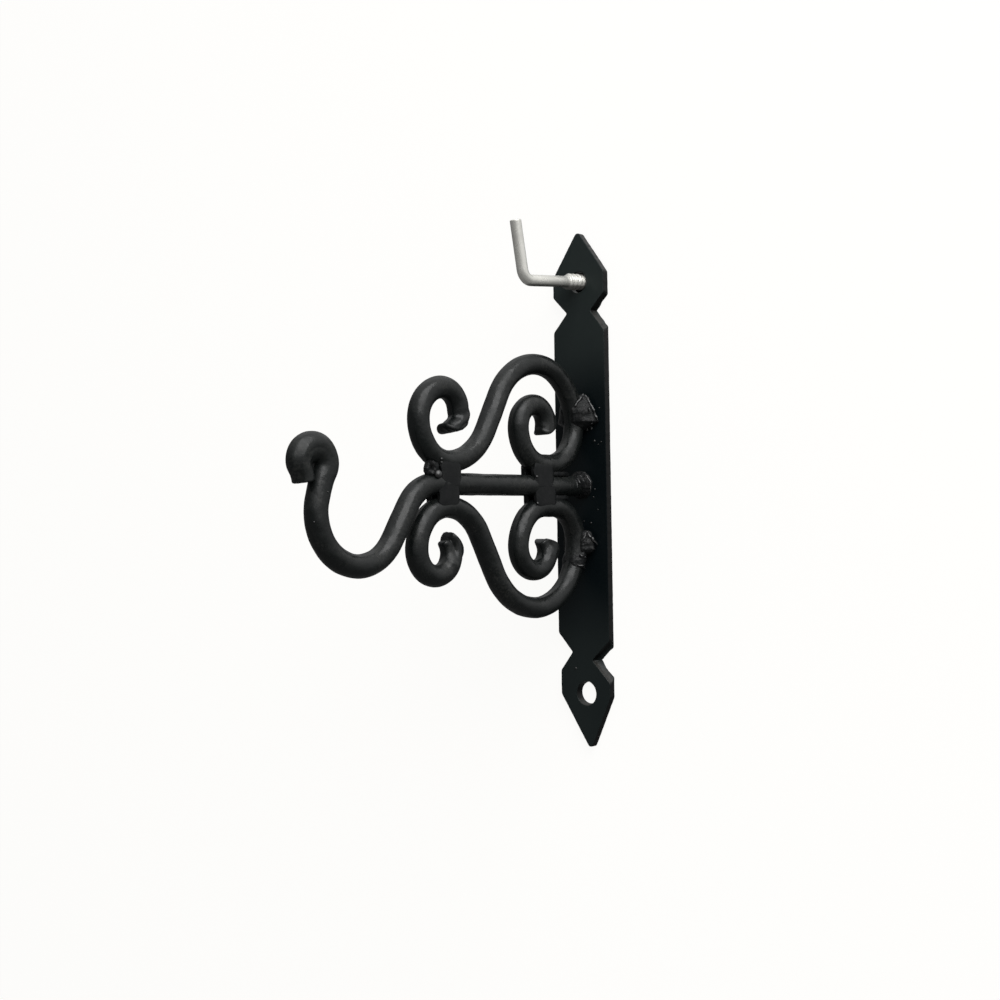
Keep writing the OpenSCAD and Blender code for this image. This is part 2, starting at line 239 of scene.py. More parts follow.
class BracketFinish(bpy.types.PropertyGroup):
    """Colours of the finishes."""

    bar_black: paint("Bar black", "Satin black paint on the bars", (0.0082, 0.0100, 0.0098))
    bar_rubbed: paint("Bar rubbed", "Paint where the bars are rubbed", (0.026, 0.027, 0.025))
    # Painted shade and painted reflection: the plate's black is deepened between the scrolls, which
    # shade it, and the next colour lightens its ends, where it reflects more light
    plate_black: paint("Plate black", "Plate between the scrolls", (0.0042, 0.0080, 0.0098))
    plate_end_sheen: paint("Plate haze", "Faded paint at the plate's ends", (0.0300, 0.0395, 0.0385))
    # The colour of the cuts that face up is partly dust and partly a painted sheen from above
    plate_dust_and_sheen: paint("Plate dust", "Dusty paint on cuts that face up", (0.040, 0.039, 0.036))
    # The edge colour is painted shade on the faces that point sideways or down
    plate_edge_shade: paint("Plate edge", "Edges that face sideways or down", (0.003, 0.0035, 0.0036))
    weld_dark: paint("Weld dark", "Paint in the folds of a weld", (0.009, 0.010, 0.0105))
    weld_grey: paint("Weld grey", "Thin paint on the ridges of a weld", (0.048, 0.047, 0.047))
    zinc: paint("Zinc", "Bright zinc plating", (0.94, 0.93, 0.87))
    # The next colour is painted shade along the underside of the shank
    zinc_underside_shade: paint("Zinc grime", "Grime under the screw hook's shank", (0.10, 0.095, 0.088))


class BracketSettings(bpy.types.PropertyGroup):
    """Everything that can be set on the bracket."""

    stage: bpy.props.PointerProperty(type=BracketStage, name="Stage")
    bars: bpy.props.PointerProperty(type=BracketBars, name="Bars")
    scrolls: bpy.props.PointerProperty(type=BracketScrolls, name="Scrolls")
    upper: bpy.props.PointerProperty(type=BracketUpperScroll, name="Upper scroll")
    lower: bpy.props.PointerProperty(type=BracketLowerScroll, name="Lower scroll")
    arm: bpy.props.PointerProperty(type=BracketArm, name="Hook arm")
    plate: bpy.props.PointerProperty(type=BracketPlate, name="Back plate")
    screw: bpy.props.PointerProperty(type=BracketScrewHook, name="Screw hook")
    finish: bpy.props.PointerProperty(type=BracketFinish, name="Finish")


# Number fields and small shapes

# Large numbers that spread a lattice corner and a seed over the whole range of the hash
CORNER_KEYS = np.array([73856093, 19349663, 83492791])
SEED_KEY = 2654435761
STIR_KEY = 1274126177
LOW_32_BITS = 0xFFFFFFFF
LOW_16_BITS = 0xFFFF


def lattice_noise(points, cell, seed):
    """A smooth random field from -1 to 1.
    Each corner of a cubic lattice has a hashed value, and a point blends the eight corners round it
    with weights 3t^2 - 2t^3 along each axis, where t is its place between two corners."""
    place = points / cell
    base = np.floor(place).astype(np.int64)
    t = place - base
    t = t * t * (3 - 2 * t)
    total = np.zeros(points.shape[:-1])
    for corner in range(8):
        step = np.array([corner & 1, corner >> 1 & 1, corner >> 2 & 1])
        key = (base + step) @ CORNER_KEYS + seed * SEED_KEY
        key = ((key ^ (key >> 13)) * STIR_KEY) & LOW_32_BITS
        value = ((key ^ (key >> 15)) & LOW_16_BITS) / (LOW_16_BITS / 2) - 1
        total += value * np.prod(np.where(step, t, 1 - t), axis=-1)
    return total


def crumple(points, cell, seed):
    """Folded metal from -1 to 1: 1 - 2|n| of the smooth field, so its ridges are sharp, plus half
    as much at half the cell."""
    coarse = 1 - 2 * np.abs(lattice_noise(points, cell, seed))
    fine = 1 - 2 * np.abs(lattice_noise(points, cell / 2, seed + 1))
    return (coarse + 0.5 * fine) / 1.5


def bump(x, centre, width):
    """A bell: exp(-((x - centre) / width)^2)."""
    return np.exp(-(((x - centre) / width) ** 2))


def fade(x, reach):
    """1 at x = 0 and 0 from x = reach on, by (1 - t)^2 (1 + 2t) with t = x / reach."""
    t = np.clip(x / reach, 0, 1)
    return (1 - t) ** 2 * (1 + 2 * t)


def unit(vectors):
    """The vectors divided by their lengths."""
    return vectors / np.linalg.norm(vectors, axis=-1, keepdims=True)


# Meshes from grids of points


def grid_quads(rows, columns, closed):
    """Corner numbers of the quads of a grid. A closed grid joins its last column to its first."""
    i = np.arange(rows - 1)[:, None]
    j = np.arange(columns if closed else columns - 1)[None, :]
    k = (j + 1) % columns
    this, after = i * columns, (i + 1) * columns
    return np.stack([this + j, this + k, after + k, after + j]).reshape(4, -1).T


def faced_out(points, quads):
    """The quads of a closed surface, turned round if the volume in them, the sum of
    a . (b x c) + a . (c x d) over their corners a to d, is negative."""
    a, b, c, d = (points[quads[:, k]] for k in range(4))
    volume = np.sum(a * np.cross(b, c)) + np.sum(a * np.cross(c, d))
    return quads if volume > 0 else quads[:, ::-1]


def mesh_object(name, grids, crease, joined=False):
    """One object from grids of points, each (points, closed), with edges sharper than the crease,
    in degrees, kept sharp. Points within a hair of each other become one, so that grids which share
    a border are joined. A quad that loses a corner by that becomes a triangle. Faces are turned
    outwards: grid by grid, or all at once where the grids are joined to one surface."""
    points, quads, count = [], [], 0
    for grid, closed in grids:
        points.append(grid.reshape(-1, 3))
        own = grid_quads(grid.shape[0], grid.shape[1], closed)
        quads.append((own if joined else faced_out(points[-1], own)) + count)
        count += len(points[-1])
    points, quads = np.concatenate(points), np.concatenate(quads)
    cells = np.round(points / HAIR).astype(np.int64)
    _, first, index = np.unique(cells, axis=0, return_index=True, return_inverse=True)
    corners = index.reshape(-1)[quads]
    kept = corners != np.roll(corners, 1, axis=1)
    sizes = kept.sum(1)
    four, three = sizes == 4, sizes == 3
    faces = corners[four].tolist() + corners[three][kept[three]].reshape(-1, 3).tolist()
    mesh = bpy.data.meshes.new(name)
    mesh.from_pydata(points[first].tolist(), [], faces)
    if joined:
        work = bmesh.new()
        work.from_mesh(mesh)
        bmesh.ops.recalc_face_normals(work, faces=work.faces)
        work.to_mesh(mesh)
        work.free()
    mesh.polygons.foreach_set("use_smooth", np.ones(len(mesh.polygons), bool))
    mesh.set_sharp_from_angle(angle=math.radians(crease))
    mesh.validate()
    piece = bpy.data.objects.new(name, mesh)
    bpy.context.scene.collection.objects.link(piece)
    return piece


def make_piece(name, grids, crease, nodes, slot, finish=None, body="bracket", joined=False):
    """A piece made from grids. It rides on its body, stands for its nodes and takes its finish,
    which has the slot's name where no other is given."""
    piece = mesh_object(name, grids, crease, joined)
    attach(piece, body)
    if nodes:
        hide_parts(*nodes)
    piece.data.materials.append(finish_of(finish or slot))


# Bars


def bend(radius, turn):
    """A leg of a bar on an arc, turning left if the turn is positive."""
    return radius, turn, 0.0


def straight(run):
    """A leg of a bar with no bend."""
    return 0.0, 0.0, run


def follow(legs, start, heading, step):
    """Stations along a chain of legs: rows of distance, out, up and heading.
    On a bend the place is centre + radius (sin h, -cos h), with the centre to the side that the leg
    turns to, and on a straight it is start + distance (cos h, sin h)."""
    rows, place, turned, run = [], np.array(start, float), heading, 0.0
    for radius, turn, straight_run in legs:
        leg = radius * abs(turn) if radius else straight_run
        s = np.linspace(0, leg, max(2, math.ceil(leg / step) + 1))
        if radius:
            side = math.copysign(1, turn)
            h = turned + side * s / radius
            centre = place + side * radius * np.array([-math.sin(turned), math.cos(turned)])
            route = centre + side * radius * np.stack([np.sin(h), -np.cos(h)], 1)
        else:
            h = np.full_like(s, turned)
            route = place + s[:, None] * np.array([math.cos(turned), math.sin(turned)])
        rows.append(np.column_stack([run + s, route, h])[1 if rows else 0 :])
        place, turned, run = route[-1], h[-1], run + leg
    return np.concatenate(rows)


def scroll_stations(own, both, bars, way):
    """Stations of a scroll from its front tip to its rear tip. The way is 1 above the arm and -1
    below it."""
    step = bars.step
    lie = bars.rod_d + bars.touch_gap
    stand_off = PLATE_T + bars.touch_gap + bars.rod_d / 2
    two_bends = own.throat_r + own.arch_r
    slant = (both.height - lie - two_bends * (1 - math.cos(both.slope))) / math.sin(both.slope)
    out = stand_off + own.back_r + two_bends * math.sin(both.slope) + slant * math.cos(both.slope)
    quarter = math.pi / 2
    main = follow(
        [
            bend(own.throat_r, -both.slope),
            straight(slant),
            bend(own.arch_r, both.slope),
            bend(own.back_r, quarter),
            bend(both.height - own.back_r - lie, quarter),
            straight(own.rear_run),
            bend(own.rear_foot_r, quarter),
            bend(both.rear_crest_r, quarter),
            bend(own.rear_eye_r, quarter + both.rear_tip_turn),
        ],
        (out, lie),
        math.pi,
        step,
    )
    front = follow(
        [
            bend(own.front_foot_r, quarter),
            bend(own.front_crest_r, quarter),
            bend(both.front_eye_r, quarter + both.front_tip_turn),
        ],
        (out, lie),
        0.0,
        step,
    )
    front = front[::-1].copy()
    front_run = front[0, 0]
    front[:, 0] = front_run - front[:, 0]
    front[:, 3] += math.pi
    main[:, 0] += front_run
    whole = np.concatenate([front, main[1:]])
    whole[:, 2] *= way
    whole[:, 3] *= way
    return whole


def arm_stations(arm, step):
    """Stations of the hook arm from the plate to the end of its curl."""
    last_turn = math.pi / 2 + arm.stem_lean + arm.neck_turn + arm.end_dip
    return follow(
        [
            straight(arm.run),
            bend(arm.drop_r, -arm.drop_turn),
            straight(arm.drop_run),
            bend(arm.seat_r, arm.drop_turn + math.pi / 2 + arm.stem_lean),
            straight(arm.stem_run),
            bend(arm.neck_r, arm.neck_turn),
            bend(arm.eye_r, -last_turn),
            straight(arm.end_run),
        ],
        (PLATE_T, 0.0),
        0.0,
        step,
    )


def bar_axes(stations):
    """Centre, forward and left directions at each station of a bar, in the row frame."""
    out, up, h = stations[:, 1], stations[:, 2], stations[:, 3]
    nought = np.zeros_like(h)
    centre = np.stack([nought, -out, up], 1)
    forward = np.stack([nought, -np.cos(h), np.sin(h)], 1)
    left = np.stack([nought, np.sin(h), np.cos(h)], 1)
    return centre, forward, left


def ring_round(left, count):
    """Angles a of the points of a ring, and at each station the points' outward directions,
    cos a left + sin a X."""
    a = np.arange(count) * 2 * math.pi / count
    return a, np.cos(a)[None, :, None] * left[:, None] + np.sin(a)[None, :, None] * SIDE_X


class Tip:
    """The shape of a bar's end: the rounding of its edge, how rough it is, and how far along the bar
    its slant is felt. The end's height over its round section is a function of the place c (1 at the
    inner side of the curl, -1 at the outer side) and e (1 on the right, -1 on the left), and the
    radius grows by a function of the distance d from the end and of the angle psi from the inner
    side."""

    bevel = 0.0006
    rough = 0.0
    reach = 0.009

    def height(self, c, e):
        return 0 * c + 0 * e

    def grow(self, d, psi):
        return 0 * d + 0 * psi


def slanted_cut(c, inner, middle, outer):
    """The parabola in c that takes the given values at the inner side, the middle and the outer
    side."""
    return middle + (inner - outer) / 2 * c + ((inner + outer) / 2 - middle) * c * c


class FlaredTip(Tip):
    """Hammered out into a thick lip that stands out on the inner side, behind a crease."""

    bevel = 0.0010
    rough = 0.00022
    reach = 0.010

    def height(self, c, e):
        return slanted_cut(c, 0.0040, 0.0030, -0.0040) - 0.0005 * e

    def grow(self, d, psi):
        crease = -0.0005 * bump(d, 0.0050, 0.0010) * (0.6 + 0.4 * np.cos(psi))
        lip = 0.0013 * bump(d, 0.0, 0.0036) * np.clip(np.cos(psi), 0, 1)
        return crease + lip + 0.0003 * bump(d, 0.0030, 0.0012)


class SlantedTip(Tip):
    """A plain slanted cut with its inner corner worn round."""

    bevel = 0.0013
    rough = 0.00005
    reach = 0.010

    def height(self, c, e):
        return slanted_cut(c, 0.0003, 0.0002, -0.0060)

    def grow(self, d, psi):
        return -0.0006 * bump(d, 0.0, 0.0016) * np.clip(np.cos(psi), 0, 1)


class FishtailTip(Tip):
    """Split by a groove into two blunt lobes, of which the outer one reaches further, and scooped
    out on the right, with a raised rim behind the scoop. The profile gives the end's height at
    places c across the curl."""

    profile = (
        (-1, -0.75, -0.45, -0.1, 0.2, 0.7, 1),
        (-0.0068, -0.0024, 0.0004, -0.0004, -0.0014, -0.0004, 0.0001),
    )

    bevel = 0.0016
    rough = 0.00016
    reach = 0.009

    def height(self, c, e):
        return np.interp(c, *self.profile) - 0.0004 * np.clip(e, 0, 1) ** 2

    def grow(self, d, psi):
        near = bump(psi, 1.2, 0.72)
        scoop = -0.0021 * near * fade(d, 0.0098)
        return scoop + 0.0003 * near * bump(d, 0.0098, 0.0013)


class ScoopedTip(Tip):
    """Scooped out on the right and spread a little on the inner side."""

    bevel = 0.0006
    rough = 0.00010
    reach = 0.010

    def height(self, c, e):
        return slanted_cut(c, -0.0002, -0.0006, -0.0068) - 0.0004 * np.clip(e, 0, 1) ** 2

    def grow(self, d, psi):
        spread = 0.0007 * bump(d, 0.0, 0.004) * np.clip(np.cos(psi), 0, 1)
        return spread - 0.0018 * bump(psi, 1.0, 0.55) * fade(d, 0.0068)


class HookTip(Tip):
    """Bent tight and upset: wider on the outside of the curl and fuller on its inside, so that the
    eye nearly closes, drawn in again at the cut, with flats and a crease from the hammer."""

    bevel = 0.0006
    rough = 0.00004
    reach = 0.006

    def height(self, c, e):
        return 0.0007 + 0 * c + 0 * e

    def grow(self, d, psi):
        outer, inner = np.clip(-np.cos(psi), 0, 1), np.clip(np.cos(psi), 0, 1)
        wide = outer * (0.0009 * bump(d, 0.0085, 0.0062) - 0.0013 * bump(d, 0.0, 0.0028))
        full = 0.0006 * inner**2 * bump(d, 0.0115, 0.0060) + 0.0005 * inner * bump(d, 0, 0.003)
        full = full + 0.0019 * inner * ((1 - np.sin(psi)) / 2) ** 1.5 * bump(d, 0.0105, 0.0070)
        flats = -0.0004 * np.clip(np.cos(4 * (psi - 0.75)), 0, 1) * bump(d, 0.002, 0.0075)
        crease = -0.0006 * bump(psi, 1.0, 0.15) * bump(d, 0.0025, 0.0030)
        behind = 0.0008 * outer * bump(d, 0.0200, 0.0080) + 0.0005 * outer * bump(d, 0.014, 0.004)
        return wide + behind + full + flats + crease


# Sizes of the unevenness on a bar: hammer dents, small dents, grain, and roughness at the tips
DENT_CELL = 0.0075
SMALL_DENT_CELL = 0.0032
GRAIN_CELL = 0.0011
ROUGH_CELL = 0.0021
# How far from a tip its roughness ends
ROUGH_REACH = 0.007
# Rings over the rounded edge of a bar's end, and from there to its middle
EDGE_RINGS = 6
FACE_RINGS = 16


def cap_rows(axis, outward, radius, forward, tip, c, e, seed):
    """Rings that close a bar's end. Ring k lies at k times the rim's radius, at the height that the
    tip's shape has there, plus the edge's rounding, bevel sin t at 1 - bevel (1 - cos t) / radius.
    The places c and e are those of the rim. The rings inside the edge are roughened."""
    turn = np.linspace(0, math.pi / 2, EDGE_RINGS + 1)[1:]
    at_edge = 1 - tip.bevel * (1 - np.cos(turn)) / radius.mean()
    rise = tip.bevel * np.sin(turn)
    k = np.concatenate([at_edge, np.linspace(at_edge[-1], 0, FACE_RINGS + 1)[1:]])[:, None]
    rise = np.concatenate([rise, np.full(FACE_RINGS, tip.bevel)])[:, None]
    height = rise + tip.height(k * c, k * e)
    rows = axis + (k * radius)[..., None] * outward + height[..., None] * forward
    uneven = tip.rough * crumple(rows, ROUGH_CELL, seed) * rise / tip.bevel
    rows = rows + uneven[..., None] * forward
    rows[-1] = rows[-1].mean(0)
    return rows


def bar_surface(stations, bars, tips, seed, ring=80):
    """A round bar along its stations, as one grid that is closed at both ends.
    A point is centre + r (cos a left + sin a X) + height forward. The radius r is the bar's own,
    plus hammer dents and grain, plus what the tip's shape adds, and the height moves the tip's rim.
    Each tip is (shape, inner side), where the inner side is 1 if the curl turns left."""
    centre, forward, left = bar_axes(stations)
    a, outward = ring_round(left, ring)
    rod_r = bars.rod_d / 2
    places = centre[:, None] + rod_r * outward
    radius = rod_r + bars.dent * lattice_noise(places, DENT_CELL, seed)
    radius = radius + bars.dent * 0.5 * lattice_noise(places, SMALL_DENT_CELL, seed + 1)
    radius = radius + bars.grain * lattice_noise(places, GRAIN_CELL, seed + 2)
    reach = np.zeros_like(radius)
    from_start = stations[:, 0][:, None]
    ends = (from_start, from_start[-1] - from_start)
    for (tip, inner), d, way in zip(tips, ends, (-1, 1)):
        psi = np.arctan2(np.sin(a), inner * np.cos(a))[None, :]
        rough = tip.rough * crumple(places, ROUGH_CELL, seed + 3) * fade(d, ROUGH_REACH)
        radius = radius + tip.grow(d, psi) + rough
        reach = reach + way * tip.height(inner * np.cos(a), np.sin(a))[None, :] * fade(d, tip.reach)
    surface = centre[:, None] + radius[..., None] * outward + reach[..., None] * forward[:, None]
    caps = [
        cap_rows(
            centre[end],
            outward[end],
            radius[end],
            way * forward[end],
            tip,
            inner * np.cos(a),
            np.sin(a),
            seed + 3,
        )
        for (tip, inner), end, way in zip(tips, (0, -1), (-1, 1))
    ]
    return np.concatenate([caps[0][::-1], surface, caps[1]])


# Back plate


def sampled_side(a, b, step):
    """Points from a up to but not with b, evenly spread."""
    count = max(1, round(math.dist(a, b) / step))
    t = np.arange(count)[:, None] / count
    return np.array(a) * (1 - t) + np.array(b) * t


def plate_corners(plate):
    """Corners of the plate's outline in (x, z), as four runs that go round it anticlockwise:
    the upper spear from its right neck to its left neck, the body's left side, the lower spear
    from its left neck to its right neck, and the body's right side."""
    half = (PLATE_HIGH.x - PLATE_LOW.x) / 2
    top, low = PLATE_HIGH.z, PLATE_LOW.z
    tip = plate.tip_w / 2
    top_shoulder = top - plate.top_point_h
    top_foot = top_shoulder - plate.shoulder_h
    top_neck = top_foot - plate.top_notch_h / 2
    top_body = top_foot - plate.top_notch_h
    low_shoulder = low + plate.low_point_h
    low_foot = low_shoulder + plate.shoulder_h
    low_neck = low_foot + plate.low_notch_h / 2
    low_body = low_foot + plate.low_notch_h
    trim, drift = plate.low_left_trim, plate.low_tip_drift
    neck_t, neck_l = plate.top_neck_w / 2, plate.low_neck_w / 2
    upper = [
        (neck_t, top_neck),
        (half, top_foot),
        (half, top_shoulder),
        (tip, top),
        (-tip, top),
        (-half, top_shoulder),
        (-half, top_foot),
        (-neck_t, top_neck),
    ]
    skew, off = plate.low_notch_skew, plate.low_neck_drift
    low_left = (-neck_l - off, low_neck + skew)
    low_right = (neck_l - off, low_neck - skew)
    left = [(-neck_t, top_neck), (-half, top_body), (-half, low_body + skew), low_left]
    lower = [
        low_left,
        (-half + trim, low_foot + skew),
        (-half + trim, low_shoulder),
        (drift - tip, low),
        (drift + tip, low),
        (half, low_shoulder),
        (half, low_foot - skew),
        low_right,
    ]
    right = [low_right, (half, low_body - skew), (half, top_body), (neck_t, top_neck)]
    return upper, left, lower, right


def smoothed(loop, times):
    """A closed loop with each point moved to the mean of itself and its neighbours, times over."""
    for _ in range(times):
        loop = (np.roll(loop, 1, axis=0) + 2 * loop + np.roll(loop, -1, axis=0)) / 4
    return loop


def loop_normals(loop):
    """Outward unit normals of an anticlockwise loop: its forward directions, turned right."""
    ahead = unit(np.roll(loop, -1, axis=0) - np.roll(loop, 1, axis=0))
    return np.stack([ahead[:, 1], -ahead[:, 0]], 1)


def lifted(flat, y):
    """Points (x, z) as (x, y, z)."""
    return np.stack([flat[..., 0], np.broadcast_to(y, flat.shape[:-1]), flat[..., 1]], -1)


# How far up the slanted cuts of the two notches on the right move the plate's front and back edge,
# at the upper notch's top and bottom corner and at the lower notch's
NOTCH_SLANTS = ((-0.0004, -0.0012), (-0.0015, 0.0002), (0.0005, -0.0023), (-0.0010, 0.0013))
# How far along the plate's side a slant fades out
SLANT_REACH = 0.006
# How deep the metal is torn at the right and left upper neck and the left and right lower neck
NECK_TEARS = (1.0, 0.35, 0.35, 2.2)
# Columns of the plate's body from side to side, and rows of a spear from its hole to its outline
BODY_COLUMNS = 29
SPEAR_ROWS = 20


def notch_slant(loop, runs, plate):
    """How far the edge moves up or down at the plate's front and back, because the two notches on
    the right were cut at a slant. The shift grows from the neck to the notch's corner as
    (x - neck) / (half - neck), and fades out along the plate's side beyond the corner."""
    upper, _, lower, _ = runs
    corners = (
        (upper[0], upper[1]),
        (upper[0], (upper[1][0], upper[0][1] - plate.top_notch_h / 2)),
        (lower[-1], (lower[-2][0], lower[-1][1] + plate.low_notch_h / 2)),
        (lower[-1], lower[-2]),
    )
    cuts = np.zeros((2,) + loop.shape)
    for (neck, corner), shifts in zip(corners, NOTCH_SLANTS):
        way = math.copysign(1, corner[1] - neck[1])
        beyond = way * (loop[:, 1] - corner[1])
        on_cut = way * (loop[:, 1] - neck[1]) > 0
        along = np.clip((loop[:, 0] - neck[0]) / (corner[0] - neck[0]), 0, 1)
        weight = on_cut * along * fade(np.clip(beyond, 0, None), SLANT_REACH)
        for cut, shift in zip(cuts, shifts):
            cut[:, 1] += shift * weight
    return cuts


def plate_grids(plate, step=0.00045):
    """The plate as grids that share their borders.
    The edge is a profile carried round the outline: a quarter round of the edge's radius, the
    sheared wall, and a quarter round again. Each face has three parts. A spear is a fan of rays from
    its hole's rim to its outline, and the body between the spears has rows from side to side."""
    runs = plate_corners(plate)
    sides = [[sampled_side(a, b, step) for a, b in zip(run, run[1:])] for run in runs]
    sides[1] = [
        np.array(a) * (1 - t) + np.array(b) * t
        for a, b, t in zip(
            runs[1], runs[1][1:], [np.arange(len(s))[:, None] / len(s) for s in sides[3][::-1]]
        )
    ]
    counts = [sum(len(s) for s in run) for run in sides]
    loop = smoothed(np.concatenate([s for run in sides for s in run]), 2)
    ends = np.cumsum(counts)
    normals = loop_normals(loop)
    r = plate.edge_r
    here = lifted(loop, 0.0)
    wander = 0.00005 * lattice_noise(here, 0.0012, 31)
    front_cut, back_cut = notch_slant(loop, runs, plate)
    front_edge = loop + normals * wander[:, None] + front_cut
    torn = 0
    uneven = 0.6 * lattice_noise(here, 0.0026, 33) + 0.5 * lattice_noise(here, 0.0011, 34)
    for corner, tear in zip((run[0] for run in runs), NECK_TEARS):
        near = np.linalg.norm(loop - np.array(corner), axis=1)
        torn = torn + bump(near, 0, 0.0055) * tear * plate.tear
        torn = torn + bump(near, 0, 0.0065) * plate.ragged * uneven
    back_edge = loop + normals * (wander + torn)[:, None] + back_cut
    turn = np.linspace(0, math.pi / 2, 5)
    rows = []
    for a in turn:
        drawn_in = normals * r * (1 - math.sin(a))
        rows.append(lifted(front_edge - drawn_in, -PLATE_T + r * (1 - math.cos(a))))
    for t in np.linspace(0, 1, 5)[1:-1]:
        y = (-PLATE_T + r) * (1 - t) - r * t
        rows.append(lifted(front_edge * (1 - t * t) + back_edge * t * t, y))
    for a in turn[::-1]:
        drawn_in = normals * r * (1 - math.sin(a))
        rows.append(lifted(back_edge - drawn_in, -r * (1 - math.cos(a))))
    edge = np.array(rows)
    grids = [(edge, True)]
    hook_hole = (0.0, PLATE_HIGH.z - plate.hook_hole_in)
    wall_hole = (plate.wall_hole_drift, PLATE_LOW.z + plate.wall_hole_in)
    holes = [
        (hook_hole, plate.hook_hole_d / 2, 0.0),
        (wall_hole, plate.wall_hole_d / 2, plate.taper),
    ]
    rims = {}
    for face, y in ((0, -PLATE_T), (-1, 0.0)):
        border = edge[face][:, [0, 2]]
        left = border[ends[0] : ends[1] + 1]
        right = np.concatenate([border[ends[2] :], border[:1]])[::-1]
        t = np.linspace(0, 1, BODY_COLUMNS)[None, :, None]
        body = left[:, None] * (1 - t) + right[:, None] * t
        grids.append((lifted(body, y), False))
        spears = (
            np.concatenate([border[: ends[0] + 1], body[0][1:-1]]),
            np.concatenate([border[ends[1] : ends[2] + 1], body[-1][::-1][1:-1]]),
        )
        for spear, (centre, hole_r, taper) in zip(spears, holes):
            rim_r = hole_r + (taper if face else 0.0)
            away = unit(spear - centre)
            inner = centre + away * rim_r
            t = np.linspace(0, 1, SPEAR_ROWS)[:, None, None]
            grids.append((lifted(inner * (1 - t) + spear * t, y), True))
            rims.setdefault(centre, []).append((away, rim_r))
    for centre, ((front_away, front_r), (back_away, back_r)) in rims.items():
        wall = []
        for a in turn:
            place = centre + front_away * (front_r - r * math.sin(a))
            wall.append(lifted(place, -PLATE_T + r * (1 - math.cos(a))))
        for a in turn[::-1]:
            place = centre + back_away * (back_r - r * math.sin(a))
            wall.append(lifted(place, -r * (1 - math.cos(a))))
        grids.append((np.array(wall), True))
    return grids


# Welds


def rounded_block(centre, half, squareness, rows=40, ring=56):
    """A block with round corners: each coordinate is its half size times sign(q) |q|^(2 / n) of the
    unit sphere's coordinate q, with n the squareness. It is a sphere at 2 and nears a box above 6."""
    v = np.linspace(-math.pi / 2, math.pi / 2, rows)[:, None]
    u = (np.arange(ring) * 2 * math.pi / ring)[None, :]
    ball = np.stack([np.cos(v) * np.cos(u), np.cos(v) * np.sin(u), np.sin(v) + 0 * u], -1)
    shaped = np.sign(ball) * np.abs(ball) ** (2 / squareness)
    return np.array(centre) + np.array(half) * shaped, ball


def lumpy(points, outward, height, cell, seed):
    """Points moved along their outward directions by folded noise of the given height."""
    moved = height * crumple(points, cell, seed)
    return points + moved[..., None] * outward


def node_middle(node):
    """Centre and half sizes of a node's box."""
    low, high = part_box(node)
    return np.array((low + high) / 2), np.array((high - low) / 2)


# Ground welds: how far they stood out before they were ground, half their height, their squareness,
# how rough their ends are, and how deep their ends and the part on the scroll sink
GROUND_PROUD = 0.0004
GROUND_HALF_TALL = 0.0051
GROUND_SQUARENESS = 5
GROUND_ROUGH = 0.0008
GROUND_ENDS_SINK = 0.0005
GROUND_SCROLL_SINK = 0.0008
# The webs at the rear junctions: their middles, across, out and up, and their half sizes
WEB_MIDDLE = np.array([0.0016, 0.0182, 0.0046])
WEB_HALF = np.array([0.0016, 0.0058, 0.0011])
WEB_SINK = 0.0009


def bar_weld_grid(node, bars, wide, further, seed):
    """A weld that fills the groove between two bars and was ground flush with their sides. It is as
    wide as the given share of its node, and lies further out from the wall by the given length.
    It is a block with round corners whose outer side is cut down to the bars: up to the scroll's
    axis to the bar's radius r, and beyond it, at the distance d, to sqrt(r^2 - d^2). Towards its
    ends and on the scroll it sinks under the bars' surface."""
    centre, half = node_middle(node)
    side = math.copysign(1, centre[0])
    inside = abs(centre[0]) - half[0]
    centre[1] -= further
    bar_r = bars.rod_d / 2
    outer = bar_r + GROUND_PROUD
    centre[0] = side * (inside + outer) / 2
    half = np.array([(outer - inside) / 2, half[1] * wide, GROUND_HALF_TALL])
    points, ball = rounded_block(centre, half, GROUND_SQUARENESS, 90, 120)
    rough_end = GROUND_ROUGH * crumple(points, 0.0026, seed) * np.abs(ball[..., 1]) ** 3
    points = points + rough_end[..., None] * ball * np.array([0.3, 1, 0.5])
    past = np.clip(np.abs(points[..., 2]) - bars.rod_d - bars.touch_gap, 0, bar_r * 0.9)
    flush = np.sqrt(bar_r**2 - past**2) + 0.00004
    flush = flush + 0.00005 * lattice_noise(points, 0.0024, seed + 4)
    to_end = np.abs((points[..., 1] - centre[1]) / half[1])
    to_scroll = np.clip((points[..., 2] - centre[2]) / half[2] * math.copysign(1, centre[2]), 0, 1)
    flush = flush - GROUND_ENDS_SINK * to_end**6 - GROUND_SCROLL_SINK * to_scroll**5
    points[..., 0] = side * np.minimum(np.abs(points[..., 0]), flush)
    return points


def web_grid(side, up, seed):
    """Thin metal run into the wedge between the arm and a scroll: a block that sinks inwards
    towards the wall. The side is 1 on the right, and up is 1 above the arm."""
    points, ball = rounded_block(WEB_MIDDLE * (side, -1, up), WEB_HALF, 3.0)
    points[..., 0] -= side * WEB_SINK * (ball[..., 1] + 1) / 2
    return lumpy(points, ball, 0.00018, 0.002, seed)


